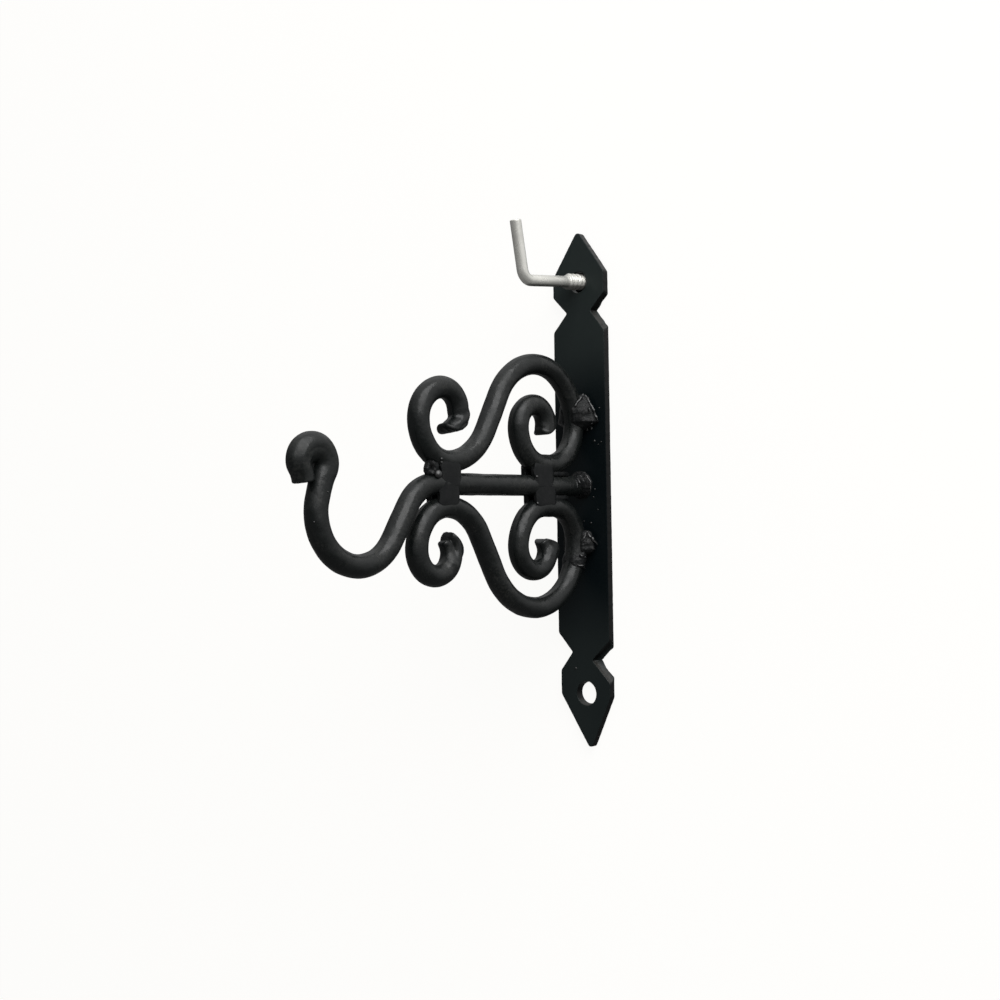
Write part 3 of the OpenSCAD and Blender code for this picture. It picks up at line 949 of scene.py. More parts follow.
def wrap_weld_grid(bar_out, shape, side, seed, rows=84, ring=120):
    """A crumpled weld that wraps a bar's side and runs out on the plate.
    Round its section, s = (1 + cos w) / 2 goes from the bar's front to the plate, and a point lies at
    the polar angle start + s (stop - start) round the bar's centre, at the distance
    ground + foot s^2.2 + thick sin w. The section shrinks to its heart towards both ends: its bar
    side and its plate side each follow their own outline over the height, from -1 to 1. A rolled rim
    stands up along the two borders, and a split may part the upper half."""
    h = np.linspace(-1, 1, rows)[:, None]
    w = (np.arange(ring) * 2 * math.pi / ring)[None, :]
    z = shape["middle"] + shape["tall"] * h
    to_bar = np.interp(h, shape["at"], shape["bar_side"])
    to_plate = np.interp(h, shape["at"], shape["plate_side"])
    s = (1 + np.cos(w)) / 2
    turn = shape["start"] + (shape["stop"] - shape["start"]) * s
    rho = shape["ground"] + shape["foot"] * s**2.2 + shape["thick"] * np.sin(w)
    across = rho * np.cos(turn)
    out = bar_out(z) + rho * np.sin(turn)
    heart_x, heart_out = shape["heart"]
    keep = to_bar * (1 - s) + to_plate * s
    ends = (1 - np.abs(h) ** 6) ** 0.5
    keep = keep * ends
    across = heart_x + keep * (across - heart_x)
    out = heart_out + keep * (out - heart_out)
    place = np.stack([side * across, -np.maximum(out, PLATE_T - 0.0004), z + 0 * w], -1)
    up = np.stack([side * np.cos(turn) + 0 * h, -np.sin(turn) + 0 * h, 0 * h + 0 * w], -1)
    outside = np.clip(np.sin(w), 0, 1)
    rim = shape["rim"] * (bump(s, 0.84, 0.07) + 0.8 * bump(s, 0.14, 0.07)) * outside * ends
    split = shape["split"] * bump(s, 0.60, 0.05) * np.clip(h - 0.1, 0, 1) * outside
    place = place + (rim - split)[..., None] * up
    place = lumpy(place, up, shape["rough"], 0.0034, seed)
    place = lumpy(place, up, shape["rough"] * 0.45, 0.0014, seed + 1)
    place[0], place[-1] = place[0].mean(0), place[-1].mean(0)
    return place


def weld_shapes(own, both, stand_off, way):
    """How far a scroll stands out at a height, near the plate: touch + r - sqrt(r^2 - dz^2), and the
    shapes of its welds there."""
    touch_z = both.height - own.back_r
    base = {"ground": 0.0037, "thick": 0.0009, "split": 0.0, "heart": (0.0036, 0.0052)}

    def bar_out(z):
        dz = np.abs(z) - touch_z
        return stand_off + own.back_r - np.sqrt(np.maximum(own.back_r**2 - dz * dz, 0))

    if way > 0:
        main = base | {
            "middle": 0.0292, "tall": 0.0073, "start": 1.15, "stop": -0.42, "foot": 0.0066,
            "rim": 0.0005, "rough": 0.00024,
            "at": (-1, -0.8, -0.54, 0.1, 0.55, 1),
            "bar_side": (0.4, 0.8, 1.0, 1.0, 0.75, 0.25),
            "plate_side": (0.15, 0.5, 1.0, 0.70, 0.45, 0.12),
        }
        return bar_out, [main]
    main = base | {
        "middle": -0.0222, "tall": 0.0048, "start": 0.45, "stop": -0.42, "foot": 0.0042,
        "rim": 0.0005, "rough": 0.00032, "split": 0.0018,
        "at": (-1, -0.6, 0.2, 1), "bar_side": (0.6, 1, 1, 0.8), "plate_side": (0.7, 1.0, 0.8, 0.7),
    }
    patch = base | {
        "middle": -0.0291, "tall": 0.0036, "start": 1.6, "stop": -0.55, "foot": 0.0007,
        "rim": 0.0, "rough": 0.00022, "thick": 0.0007,
        "at": (-1, 0, 1), "bar_side": (0.9, 1, 0.9), "plate_side": (0.9, 1, 0.95),
    }
    return bar_out, [main, patch]


def foot_weld_grid(node, bars, seed, rows=56, ring=120):
    """A collar round the arm's foot: a fillet turned about the arm's axis.
    Its radius goes from the foot on the plate to the bar as (1 - sin)^0.6 of the way along. It
    climbs further along the arm and stands higher on its right, where the metal froze in ripples."""
    low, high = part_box(node)
    foot_r = (high.z - low.z) / 2
    tall = high.y - low.y
    t = np.linspace(0, 1, rows)[:, None]
    a = (np.arange(ring) * 2 * math.pi / ring)[None, :]
    right = np.clip(0.25 + 0.75 * np.cos(a - 0.75), 0, 1) ** 1.3
    thin = bars.rod_d / 2 - 0.0006
    wide = foot_r - 0.0013 + 0.0004 * np.sin(a)
    r = thin + (wide - thin) * (1 - np.sin(t * math.pi / 2)) ** 0.6
    waves = np.sin(t * 2 * math.pi * 3.2 + 0.8 * np.cos(a))
    ripple = 0.00055 * right * waves * np.sin(t * math.pi) ** 0.5
    r = r + ripple + 0.0007 * right * np.sin(t * math.pi)
    out = PLATE_T - 0.0004 + (tall + 0.0045 * right) * t
    place = np.stack([r * np.cos(a), -out, r * np.sin(a)], -1)
    outward = np.stack([np.cos(a) + 0 * t, -0.8 + 0 * a + 0 * t, np.sin(a) + 0 * t], -1)
    place = lumpy(place, unit(outward), 0.00050, 0.0034, seed)
    place = lumpy(place, unit(outward), 0.00018, 0.0013, seed + 1)
    middles = place[[0, -1]].mean(1, keepdims=True) + 0 * place[[0, -1]]
    return np.concatenate([middles[:1], place, middles[1:]])


def pitted_lump_grid(node, seed):
    """A lump of weld with a pit in its near side: a ball whose radius drops by a bell round the
    pit's direction."""
    centre, half = node_middle(node)
    centre = centre + np.array([0.0013, 0.0002, 0])
    points, ball = rounded_block(centre, half * np.array([0.75, 0.92, 1.12]), 2.3, 56, 72)
    pit_way = unit(np.array([0.75, -0.60, 0.0]))
    pit = bump(np.arccos(np.clip(ball @ pit_way, -1, 1)), 0, 0.42)
    sunk = points - (0.0019 * pit)[..., None] * ball
    return lumpy(lumpy(sunk, ball, 0.00045, 0.0022, seed), ball, 0.00018, 0.0010, seed + 1)


# Screw hook


def screw_surface(screw, ring=64):
    """The screw hook as one grid, from the top of its leg to its point.
    The radius is half the wire, and on the threaded part the core plus a ridge whose place along the
    shank moves by one pitch each turn. The thread runs out on the wire and on the cone."""
    turn = math.pi - screw.corner
    cut = screw.corner_r * math.tan(turn / 2)
    drop = (screw.thread_out + PLATE_T / 2) * math.tan(screw.droop)
    front = np.array([PLATE_T + screw.thread_out, HOOK_HEIGHT - drop])
    shank = (screw.reach - front[0]) / math.cos(screw.droop) - cut
    thread = screw.thread_out + PLATE_T + screw.thread_in
    corner_way = math.pi - screw.droop
    legs_in = [straight(thread + screw.point_l)]
    legs_out = [straight(shank), bend(screw.corner_r, turn), straight(screw.leg - cut)]
    outer = follow(legs_out, front, -screw.droop, 0.0004)[::-1].copy()
    outer[:, 0] = outer[0, 0] - outer[:, 0]
    outer[:, 3] += math.pi
    inner = follow(legs_in, front, corner_way, screw.pitch / 22)
    inner[:, 0] += outer[-1, 0]
    stations = np.concatenate([outer, inner[1:]])
    centre, forward, left = bar_axes(stations)
    a, outward = ring_round(left, ring)
    along = (stations[:, 0] - outer[-1, 0])[:, None] + 0 * a
    core, crest, wire = screw.core_d / 2, screw.thread_d / 2, screw.wire_d / 2
    phase = (along / screw.pitch - a[None, :] / (2 * math.pi)) % 1
    ridge = np.clip((0.36 - np.abs(phase - 0.5)) / 0.27, 0, 1)
    start = np.clip(along / (0.6 * screw.pitch), 0, 1)
    to_point = np.clip((thread + screw.point_l - along) / screw.point_l, 0.02, 1)
    ridge = ridge * start * np.minimum(1, to_point * 1.2)
    radius = wire + (core - wire) * start + (crest - core) * ridge
    radius = np.where(along > thread, radius * to_point, radius)
    radius = radius + 0.00003 * lattice_noise(centre[:, None] + wire * outward, 0.004, 61)
    surface = centre[:, None] + radius[..., None] * outward
    leg_end, point = Tip(), Tip()
    leg_end.bevel, point.bevel = 0.0004, 0.00002
    c, e = np.cos(a), np.sin(a)
    first = cap_rows(centre[0], outward[0], radius[0], -forward[0], leg_end, c, e, 1)
    last = cap_rows(centre[-1], outward[-1], radius[-1], forward[-1], point, c, e, 2)
    return np.concatenate([first[::-1], surface, last])


# Spatter


def droplet(centre, outward, size, seed, rows=7, ring=12):
    """A bead of spatter: a dome of the given radius, flattened along its outward direction and sunk
    a little into what it sits on."""
    across = unit(np.cross(outward, [0.3, 0.5, 0.8]))
    third = np.cross(outward, across)
    v = np.linspace(-math.pi / 2, math.pi / 2, rows)[:, None, None]
    u = (np.arange(ring) * 2 * math.pi / ring)[None, :, None]
    ball = np.cos(v) * (np.cos(u) * across + np.sin(u) * third) + 0.75 * np.sin(v) * outward
    points = np.array(centre) + size * ball
    return points + 0.2 * size * lattice_noise(points, size * 1.3, seed)[..., None] * ball


# Which way the beads of spatter stand out of the plate and of the bars' right side
OUT_OF_PLATE = np.array([0, -1.0, 0])
OUT_OF_BARS = unit(np.array([1.0, -0.3, 0.2]))
# Beads of spatter on the plate: place across and up, and radius, in millimetres
SPATTER_ON_PLATE = (
    (7.2, 17.7, 0.45),
    (10.4, 17.1, 0.4),
    (9.0, 16.2, 0.3),
    (6.9, -1.3, 0.4),
    (6.2, -4.4, 0.35),
    (4.7, -14.6, 0.5),
    (1.2, -13.9, 0.3),
    (8.3, -9.5, 0.3),
    (-4.1, -72.4, 0.55),
    (3.5, 22.6, 0.8),
    (5.6, 22.7, 0.65),
    (9.8, 30.6, 0.35),
)
# Beads of spatter on the bars: place across, out and up, and radius, in millimetres
SPATTER_ON_BARS = (
    (3.9, 85.8, 8.6, 0.55),
    (3.45, 85.4, 7.45, 0.5),
    (3.9, 34.6, 3.3, 0.6),
    (3.5, 33.9, -6.8, 0.55),
    (3.6, 87.2, 3.4, 1.5),
    (3.95, 137.8, -3.4, 0.35),
    (2.5, 142.4, -12.9, 0.3),
)


def ridge_grid(knots, thick, seed, rows=72, ring=16):
    """A ridge of weld metal that froze as it ran: a tube through the knots, rounded by taking means,
    with the section thick (sin pi t)^0.4 (1 + 0.8 noise), where t goes from 0 to 1 along it."""
    t = np.linspace(0, 1, rows)
    knots = np.array(knots)
    at = np.linspace(0, 1, len(knots))
    route = np.stack([np.interp(t, at, knots[:, k]) for k in range(3)], 1)
    for _ in range(12):
        route[1:-1] = (route[:-2] + 2 * route[1:-1] + route[2:]) / 4
    route = route + 0.0004 * np.stack([lattice_noise(route, 0.0014, seed + k) for k in range(3)], 1)
    forward = unit(np.gradient(route, axis=0))
    across = unit(np.cross(forward, [0.8, -0.5, 0.33]))
    third = np.cross(forward, across)
    a = (np.arange(ring) * 2 * math.pi / ring)[None, :, None]
    outward = np.cos(a) * across[:, None] + np.sin(a) * third[:, None]
    section = thick * np.sin(np.pi * np.clip(t, 0.001, 0.999)) ** 0.4
    uneven = 1 + 0.8 * lattice_noise(route[:, None] + thick * outward, 0.0012, seed + 5)
    points = route[:, None] + (section[:, None] * uneven)[..., None] * outward
    points[0], points[-1] = points[0].mean(0), points[-1].mean(0)
    return points


def ripple_knots(out, radius, start, stop, count=7):
    """Knots of a ripple round the arm, as (across, out, up): an arc about its axis, from one angle
    to another, seen from the plate's front, with 0 on the right."""
    a = np.radians(np.linspace(start, stop, count))
    return np.stack([radius * np.cos(a), np.full(count, out), radius * np.sin(a)], 1)


# Ridges of the plate welds: knots across, out and up, and half the thickness, in millimetres
WELD_RIDGES = (
    (
        ((4.2, 5.6, 36.3), (5.9, 5.6, 34.2), (7.4, 5.1, 31.6), (8.6, 4.6, 28.5), (9.9, 3.8, 25.4)),
        0.60,
    ),
    (((4.2, 5.7, 36.2), (4.3, 7.3, 35.0), (4.9, 9.1, 33.6), (3.9, 11.4, 31.3)), 0.50),
    (((7.2, 6.6, 31.2), (7.9, 7.0, 29.8), (8.2, 6.9, 28.6)), 0.34),
    (((6.4, 5.9, 24.2), (7.4, 5.6, 24.6), (8.3, 5.2, 24.4)), 0.36),
    (((4.4, 5.9, -17.8), (6.0, 5.6, -19.2), (7.3, 5.1, -21.0), (8.3, 4.0, -23.2)), 0.50),
    (((4.4, 6.0, -17.9), (4.9, 7.4, -19.6), (4.9, 8.2, -21.6)), 0.42),
    (((4.3, 10.8, -26.9), (5.2, 8.8, -27.4), (4.9, 6.6, -28.6)), 0.45),
    (((4.2, 11.0, -30.8), (5.1, 9.2, -31.4), (4.9, 7.4, -31.0)), 0.40),
)
# Ripples of the collar at the arm's foot: out, radius and half the thickness in millimetres, and
# the two angles in degrees
FOOT_RIPPLES = (
    (3.7, 5.5, 0.45, -25, 80),
    (5.2, 5.1, 0.40, 0, 95),
    (6.8, 4.6, 0.32, 10, 85),
    (9.2, 4.0, 0.60, 0, 45),
    (10.4, 3.9, 0.45, -12, 25),
)


# Finishes


def feed(tree, node, inputs):
    """Gives a node its inputs, each a value of its own or another node's output."""
    for key, value in dict(inputs).items():
        if isinstance(value, bpy.types.NodeSocket):
            tree.links.new(value, node.inputs[key])
        else:
            node.inputs[key].default_value = value


def add_node(tree, kind, inputs=(), **settings):
    """A node of one kind, with its settings and its inputs."""
    node = tree.nodes.new(kind)
    for key, value in settings.items():
        setattr(node, key, value)
    feed(tree, node, inputs)
    return node


def new_material(name):
    """An empty node material: itself, its node tree, its output, and the object's own coordinates."""
    material = bpy.data.materials.new(name)
    material.use_nodes = True
    tree = material.node_tree
    tree.nodes.clear()
    output = tree.nodes.new("ShaderNodeOutputMaterial")
    return material, tree, output, add_node(tree, "ShaderNodeTexCoord").outputs["Object"]


def coat(tree, output, **looks):
    """Puts the shader on the surface, with its looks named as its sockets are, with _ for a space."""
    shader = add_node(tree, "ShaderNodeBsdfPrincipled")
    feed(tree, shader, {key.replace("_", " "): value for key, value in looks.items()})
    tree.links.new(shader.outputs["BSDF"], output.inputs["Surface"])


def noise_node(tree, place, scale, detail=3.0, roughness=0.55):
    """A noise pattern on the object's own coordinates, scale cells to the metre."""
    return add_node(
        tree,
        "ShaderNodeTexNoise",
        {"Vector": place, "Scale": scale, "Detail": detail, "Roughness": roughness},
    ).outputs["Fac"]


def between(tree, value, low, high, to_low=0.0, to_high=1.0):
    """The value's span from low to high, spread over another span and held at its ends."""
    return add_node(
        tree,
        "ShaderNodeMapRange",
        {"Value": value, "From Min": low, "From Max": high, "To Min": to_low, "To Max": to_high},
        interpolation_type="SMOOTHSTEP",
    ).outputs["Result"]


def colour_mix(tree, factor, a, b):
    """Colour a where the factor is 0 and colour b where it is 1."""
    return add_node(
        tree,
        "ShaderNodeMix",
        {0: factor, 6: a if isinstance(a, bpy.types.NodeSocket) else (*a, 1), 7: (*b, 1)},
        data_type="RGBA",
    ).outputs[2]


def maths(tree, operation, *values):
    """The result of a sum on one, two or three values."""
    return add_node(tree, "ShaderNodeMath", enumerate(values), operation=operation).outputs[0]


def places_value(tree, operation, a, b):
    """The distance or the dot product of two places."""
    node = add_node(tree, "ShaderNodeVectorMath", {0: a, 1: b}, operation=operation)
    return node.outputs["Value"]


def relief(tree, layers):
    """A chain of bumps from (height, strength, distance) layers, coarse ones first."""
    normal = None
    for height, strength, distance in layers:
        inputs = {"Height": height, "Strength": strength, "Distance": distance}
        if normal is not None:
            inputs["Normal"] = normal
        normal = add_node(tree, "ShaderNodeBump", inputs).outputs["Normal"]
    return normal


def bar_paint(finish):
    """Satin black paint on hot rolled bar: almost even in colour, drier in patches, with the grain
    of the scale showing through, so that its highlights are mottled."""
    material, tree, output, place = new_material("satin black paint on bar")
    patches = between(tree, noise_node(tree, place, 90), 0.40, 0.66)
    speckle = between(tree, noise_node(tree, place, 1100, 2.0), 0.40, 0.72)
    worn = maths(tree, "MULTIPLY", patches, speckle)
    drier = noise_node(tree, place, 230, 3.0)
    dents = (noise_node(tree, place, 210), 0.60, 0.00045)
    grain = (noise_node(tree, place, 1300, 2.0), 0.16, 0.00010)
    coat(
        tree,
        output,
        Base_Color=colour_mix(tree, worn, finish.bar_black, finish.bar_rubbed),
        Roughness=between(tree, drier, 0.38, 0.62, 0.21, 0.42),
        Specular_IOR_Level=0.36,
        Normal=relief(tree, [dents, grain]),
    )
    return material


def plate_paint(finish):
    """Satin black paint on bright flat bar: smooth, with a trace of orange peel. Its colour is darker
    between the scrolls as painted shade and lighter towards both ends as painted reflection. Cuts
    that face up are greyer, partly with dust and partly with a painted sheen from above, and faces
    that point sideways or down are darker with painted shade."""
    material, tree, output, place = new_material("satin black paint on plate")
    normal = add_node(tree, "ShaderNodeNewGeometry").outputs["True Normal"]
    facing = add_node(tree, "ShaderNodeSeparateXYZ", {"Vector": normal}).outputs
    height = add_node(tree, "ShaderNodeSeparateXYZ", {"Vector": place}).outputs["Z"]
    mottle = noise_node(tree, place, 700, 2.0)

    # Painted reflection and painted shade: lighter towards the top and the foot, deepest between the
    # scrolls
    to_top = between(tree, height, 0.029, 0.062)
    to_foot = between(tree, height, -0.068, -0.036, 0.62, 0.0)
    uneven = between(tree, noise_node(tree, place, 45), 0.3, 0.7, 0.82, 1.0)
    end_sheen = maths(tree, "MULTIPLY", maths(tree, "ADD", to_top, to_foot), uneven)
    base = colour_mix(tree, end_sheen, finish.plate_black, finish.plate_end_sheen)

    # Dust and painted sheen: cuts that face up are greyer, partly with dust and partly as painted
    # light from above, except round the upper hole
    cuts_up = between(tree, facing["Z"], 0.40, 0.62)
    dust_and_sheen = maths(tree, "MULTIPLY", cuts_up, between(tree, mottle, 0.25, 0.6, 0.5, 1.0))
    from_hole = places_value(tree, "DISTANCE", place, (0, 0, HOOK_HEIGHT))
    dust_and_sheen = maths(tree, "MULTIPLY", dust_and_sheen, between(tree, from_hole, 0.0062, 0.0070))
    with_dust_and_sheen = colour_mix(tree, dust_and_sheen, base, finish.plate_dust_and_sheen)

    # Painted shade: faces that point sideways or down get a darker colour, as if in shadow, and the
    # same mask lowers their roughness
    to_side = between(tree, maths(tree, "ABSOLUTE", facing["X"]), 0.72, 0.88)
    to_floor = between(tree, facing["Z"], -0.62, -0.42, 1.0, 0.0)
    sheared = maths(tree, "MAXIMUM", to_side, to_floor)
    dry = between(tree, mottle, 0.3, 0.7, 0.36, 0.42)
    waves = (noise_node(tree, place, 60), 0.20, 0.0006)
    peel = (noise_node(tree, place, 1100, 2.0), 0.14, 0.00006)
    coat(
        tree,
        output,
        Base_Color=colour_mix(tree, sheared, with_dust_and_sheen, finish.plate_edge_shade),
        Roughness=maths(tree, "MULTIPLY_ADD", sheared, -0.1, dry),
        Specular_IOR_Level=0.2,
        Normal=relief(tree, [waves, peel]),
    )
    return material


def weld_paint(finish, name, grey, rough, specular):
    """Thin dark paint over weld metal: dark in the folds, and as grey on the ridges as is given."""
    material, tree, output, place = new_material(name)
    folds = noise_node(tree, place, 420, 4.0, 0.65)
    fine = noise_node(tree, place, 1600, 3.0)
    ridges = between(tree, folds, 0.45, 0.68, 0.0, grey)
    coat(
        tree,
        output,
        Base_Color=colour_mix(tree, ridges, finish.weld_dark, finish.weld_grey),
        Roughness=between(tree, fine, 0.3, 0.7, 0.26, 0.44),
        Specular_IOR_Level=specular,
        Normal=relief(tree, [(folds, 0.8 * rough, 0.0006), (fine, 0.4 * rough, 0.00015)]),
    )
    return material


def crumpled_weld(finish):
    """The paint on the crumpled welds, the lump and the collar."""
    return weld_paint(finish, "thin paint on weld metal", 0.36, 0.7, 0.16)


def flush_weld(finish):
    """The paint on the welds that were ground flush with the bars, and on the webs beside them."""
    return weld_paint(finish, "paint on ground weld", 0.10, 0.10, 0.18)


def bright_weld(finish):
    """The paint on the spatter, the ridges and the ripples, rubbed thin and shiny."""
    return weld_paint(finish, "rubbed paint on spatter and ridges", 1.0, 0.5, 0.9)


def zinc_plating(finish):
    """Bright zinc plating with fine drawn lines and faint clouding, and a painted shade under the
    shank.
    """
    material, tree, output, place = new_material("bright zinc plating")
    clouds = between(tree, noise_node(tree, place, 180), 0.35, 0.7)
    fine = noise_node(tree, place, 2200, 2.0)
    dull = tuple(0.85 * c for c in finish.zinc)
    clean = colour_mix(tree, clouds, finish.zinc, dull)
    # Painted shade: the colour darkens along the underside of the shank, below its axis
    above = (0, HOOK_TURN["axis"][2], -HOOK_TURN["axis"][1])
    level = sum(a * b for a, b in zip(HOOK_TURN["pos_m"], above))
    depth = places_value(tree, "DOT_PRODUCT", place, above)
    underside_shade = between(tree, depth, level - 0.0021, level - 0.0011, 0.85, 0.0)
    coat(
        tree,
        output,
        Base_Color=colour_mix(tree, underside_shade, clean, finish.zinc_underside_shade),
        Roughness=between(tree, clouds, 0, 1, 0.22, 0.36),
        Metallic=0.5,
        Normal=relief(tree, [(fine, 0.15, 0.00005)]),
    )
    return material


def mix_shaders(tree, factor, a, b):
    """Shader a where the factor is 0 and shader b where it is 1."""
    return add_node(tree, "ShaderNodeMixShader", {0: factor, 1: a, 2: b}).outputs[0]


def backdrop_finish(stage):
    """Pale and even, with the object's soft shadow on it, and a dark disc painted as the shade in the
    hole drilled for the screw hook. It can be seen through from behind, so that it hides nothing in a
    view from there."""
    material, tree, output, place = new_material("pale backdrop")
    drill_shade_r = stage.drill_shade_d / 2
    from_hole = places_value(tree, "DISTANCE", place, (0, 0, HOOK_HEIGHT))
    # Painted shade: a dark disc the size of the drilled hole, in both the lit and the glowing colour
    pale = between(tree, from_hole, drill_shade_r, drill_shade_r + 0.0006)
    shade = colour_mix(tree, pale, (0.02, 0.02, 0.02), stage.backdrop)
    glow_shade = colour_mix(tree, pale, (0.0, 0.0, 0.0), (1.0, 0.995, 0.98))
    diffuse = add_node(tree, "ShaderNodeBsdfDiffuse", {"Color": shade}).outputs[0]
    glow = add_node(tree, "ShaderNodeEmission", {"Color": glow_shade, "Strength": 1.15}).outputs[0]
    clear = add_node(tree, "ShaderNodeBsdfTransparent").outputs[0]
    behind = add_node(tree, "ShaderNodeNewGeometry").outputs["Backfacing"]
    lit = mix_shaders(tree, 0.8, diffuse, glow)
    tree.links.new(mix_shaders(tree, behind, lit, clear), output.inputs["Surface"])
    return material


# Stage


# The key lamp: where it stands, what it faces, and the length of its side
KEY_PLACE = (0.84, -0.40, 0.94)
KEY_TARGET = (0, -0.06, 0)
KEY_SIZE = 1.25
# The way to the room's brightest part in reflections: up, and to the right
BRIGHT_WAY = (0.42, 0.06, 0.90)
SENSOR_WIDTH = 36


def flat_sheet(name, corner, across, along, cells=8):
    """A flat grid: corner + u across + v along."""
    u = np.linspace(0, 1, cells)[:, None, None]
    v = np.linspace(0, 1, cells)[None, :, None]
    points = np.array(corner) + u * np.array(across) + v * np.array(along)
    mesh = bpy.data.meshes.new(name)
    quads = grid_quads(cells, cells, False)
    mesh.from_pydata(points.reshape(-1, 3).tolist(), [], quads.tolist())
    sheet = bpy.data.objects.new(name, mesh)
    bpy.context.scene.collection.objects.link(sheet)
    return sheet


def soft_lamp(name, place, target, size, power):
    """A square area lamp that faces its target."""
    lamp = bpy.data.lights.new(name, "AREA")
    lamp.size = size
    lamp.energy = power
    holder = bpy.data.objects.new(name, lamp)
    holder.location = place
    holder.visible_camera = False
    holder.rotation_euler = (Vector(target) - Vector(place)).to_track_quat("-Z", "Y").to_euler()
    bpy.context.scene.collection.objects.link(holder)


def studio_world(stage):
    """A world that is white to the camera and lights the object evenly. In reflections it is white
    above and to the right, and dim to the left and below."""
    world = bpy.data.worlds.new("studio")
    world.use_nodes = True
    tree = world.node_tree
    tree.nodes.clear()
    output = tree.nodes.new("ShaderNodeOutputWorld")
    path = tree.nodes.new("ShaderNodeLightPath").outputs
    way = add_node(tree, "ShaderNodeTexCoord").outputs["Generated"]
    to_bright = places_value(tree, "DOT_PRODUCT", way, BRIGHT_WAY)
    shown = between(tree, to_bright, -0.15, 0.95, stage.dim, 1.0)
    light, room, white = (
        add_node(
            tree, "ShaderNodeBackground", {"Color": (1, 1, 1, 1), "Strength": strength}
        ).outputs[0]
        for strength in (stage.sky, shown, 1.0)
    )
    mirrored = maths(tree, "MAXIMUM", path["Is Glossy Ray"], path["Is Transmission Ray"])
    unseen = mix_shaders(tree, mirrored, light, room)
    seen = mix_shaders(tree, path["Is Camera Ray"], unseen, white)
    tree.links.new(seen, output.inputs["Surface"])
    bpy.context.scene.world = world


def place_camera(stage):
    """The camera at its place. Its back points (sin t cos r, -cos t cos r, sin r) for the turn t and
    the rise r, and it is rolled about that way."""
    turn, rise, roll = stage.camera_turn, stage.camera_rise, stage.camera_roll
    level = math.cos(rise)
    back = Vector((math.sin(turn) * level, -math.cos(turn) * level, math.sin(rise)))
    right = Vector((math.cos(turn), math.sin(turn), 0))
    up = right.cross(-back)
    rolled_right = right * math.cos(roll) + up * math.sin(roll)
    rolled_up = up * math.cos(roll) - right * math.sin(roll)
    camera = bpy.data.cameras.new("camera")
    camera.lens = stage.lens
    camera.sensor_width = SENSOR_WIDTH
    holder = bpy.data.objects.new("camera", camera)
    bpy.context.scene.collection.objects.link(holder)
    turned = Matrix((rolled_right, rolled_up, back)).transposed().to_4x4()
    holder.matrix_world = Matrix.Translation(stage.camera_place) @ turned
    bpy.context.scene.camera = holder


# Operators


def settings():
    """The bracket's settings in this scene."""
    return bpy.context.scene.bracket


FINISH_MAKERS = {
    "black_bar": bar_paint,
    "black_plate": plate_paint,
    "painted_weld": crumpled_weld,
    "flush_weld": flush_weld,
    "bright_weld": bright_weld,
    "bright_zinc": zinc_plating,
}
FINISHES = {}


def finish_of(name):
    """The material of a finish, made once."""
    if name not in FINISHES:
        FINISHES[name] = FINISH_MAKERS[name](settings().finish)
    return FINISHES[name]


SIDES = {"right": 1, "left": -1}
# How much of its node's width a ground weld fills, and how far it lies out from the node's middle
FRONT_FILL = (0.82, 0.0002)
REAR_FILL = (0.95, 0.0017)


class BRACKET_OT_stage(bpy.types.Operator):
    """Set up the camera, the lamps, the floor and the backdrop"""

    bl_idname = "bracket.stage"
    bl_label = "Stage"

    def execute(self, context):
        stage = settings().stage
        place_camera(stage)
        studio_world(stage)
        soft_lamp("key lamp", KEY_PLACE, KEY_TARGET, KEY_SIZE, stage.key)
        pale = backdrop_finish(stage)
        sheets = [
            flat_sheet("backdrop", (-2, 0, -stage.floor_drop), (0, 0, 3), (4, 0, 0)),
            flat_sheet("floor", (-2, -3, -stage.floor_drop), (0, 3, 0), (4, 0, 0)),
        ]
        for sheet in sheets:
            sheet.data.materials.append(pale)
            sheet.visible_diffuse = False
            sheet.visible_glossy = False
            sheet.visible_transmission = False
            sheet.visible_shadow = False
        bpy.context.scene.view_settings.view_transform = "Standard"
        return {"FINISHED"}


class BRACKET_OT_back_plate(bpy.types.Operator):
    """Model the plate with its spear ends, notches and holes"""

    bl_idname = "bracket.back_plate"
    bl_label = "Back plate"

    def execute(self, context):
        grids = plate_grids(settings().plate)
        make_piece("plate", grids, 50, ["back_plate"], "black_plate", joined=True)
        return {"FINISHED"}


class BRACKET_OT_scrolls(bpy.types.Operator):
    """Model the upper and the lower scroll, with the worked tips of their curls"""

    bl_idname = "bracket.scrolls"
    bl_label = "Scrolls"

    def execute(self, context):
        s = settings()
        upper_tips = ((FlaredTip(), -1), (SlantedTip(), 1))
        lower_tips = ((FishtailTip(), 1), (ScoopedTip(), -1))
        scrolls = (
            ("upper_scroll", s.upper, 1, upper_tips, 11),
            ("lower_scroll", s.lower, -1, lower_tips, 17),
        )
        for node, own, way, tips, seed in scrolls:
            stations = scroll_stations(own, s.scrolls, s.bars, way)
            surface = bar_surface(stations, s.bars, tips, seed)
            make_piece(node + "_bar", [(surface, True)], 60, [node], "black_bar")
        return {"FINISHED"}


class BRACKET_OT_hook_arm(bpy.types.Operator):
    """Model the arm with its hook and the tight curl at its end"""

    bl_idname = "bracket.hook_arm"
    bl_label = "Hook arm"

    def execute(self, context):
        s = settings()
        stations = arm_stations(s.arm, s.bars.step)
        surface = bar_surface(stations, s.bars, ((Tip(), 1), (HookTip(), -1)), 23)
        make_piece("hook_arm_bar", [(surface, True)], 60, ["hook_arm"], "black_bar")
        return {"FINISHED"}


class BRACKET_OT_screw_hook(bpy.types.Operator):
    """Model the zinc plated screw hook with its thread"""

    bl_idname = "bracket.screw_hook"
    bl_label = "Screw hook"

    def execute(self, context):
        grids = [(screw_surface(settings().screw), True)]
        make_piece(
            "square_screw_hook", grids, 35, ["screw_hook"], "bright_zinc", body="turning_hook"
        )
        return {"FINISHED"}


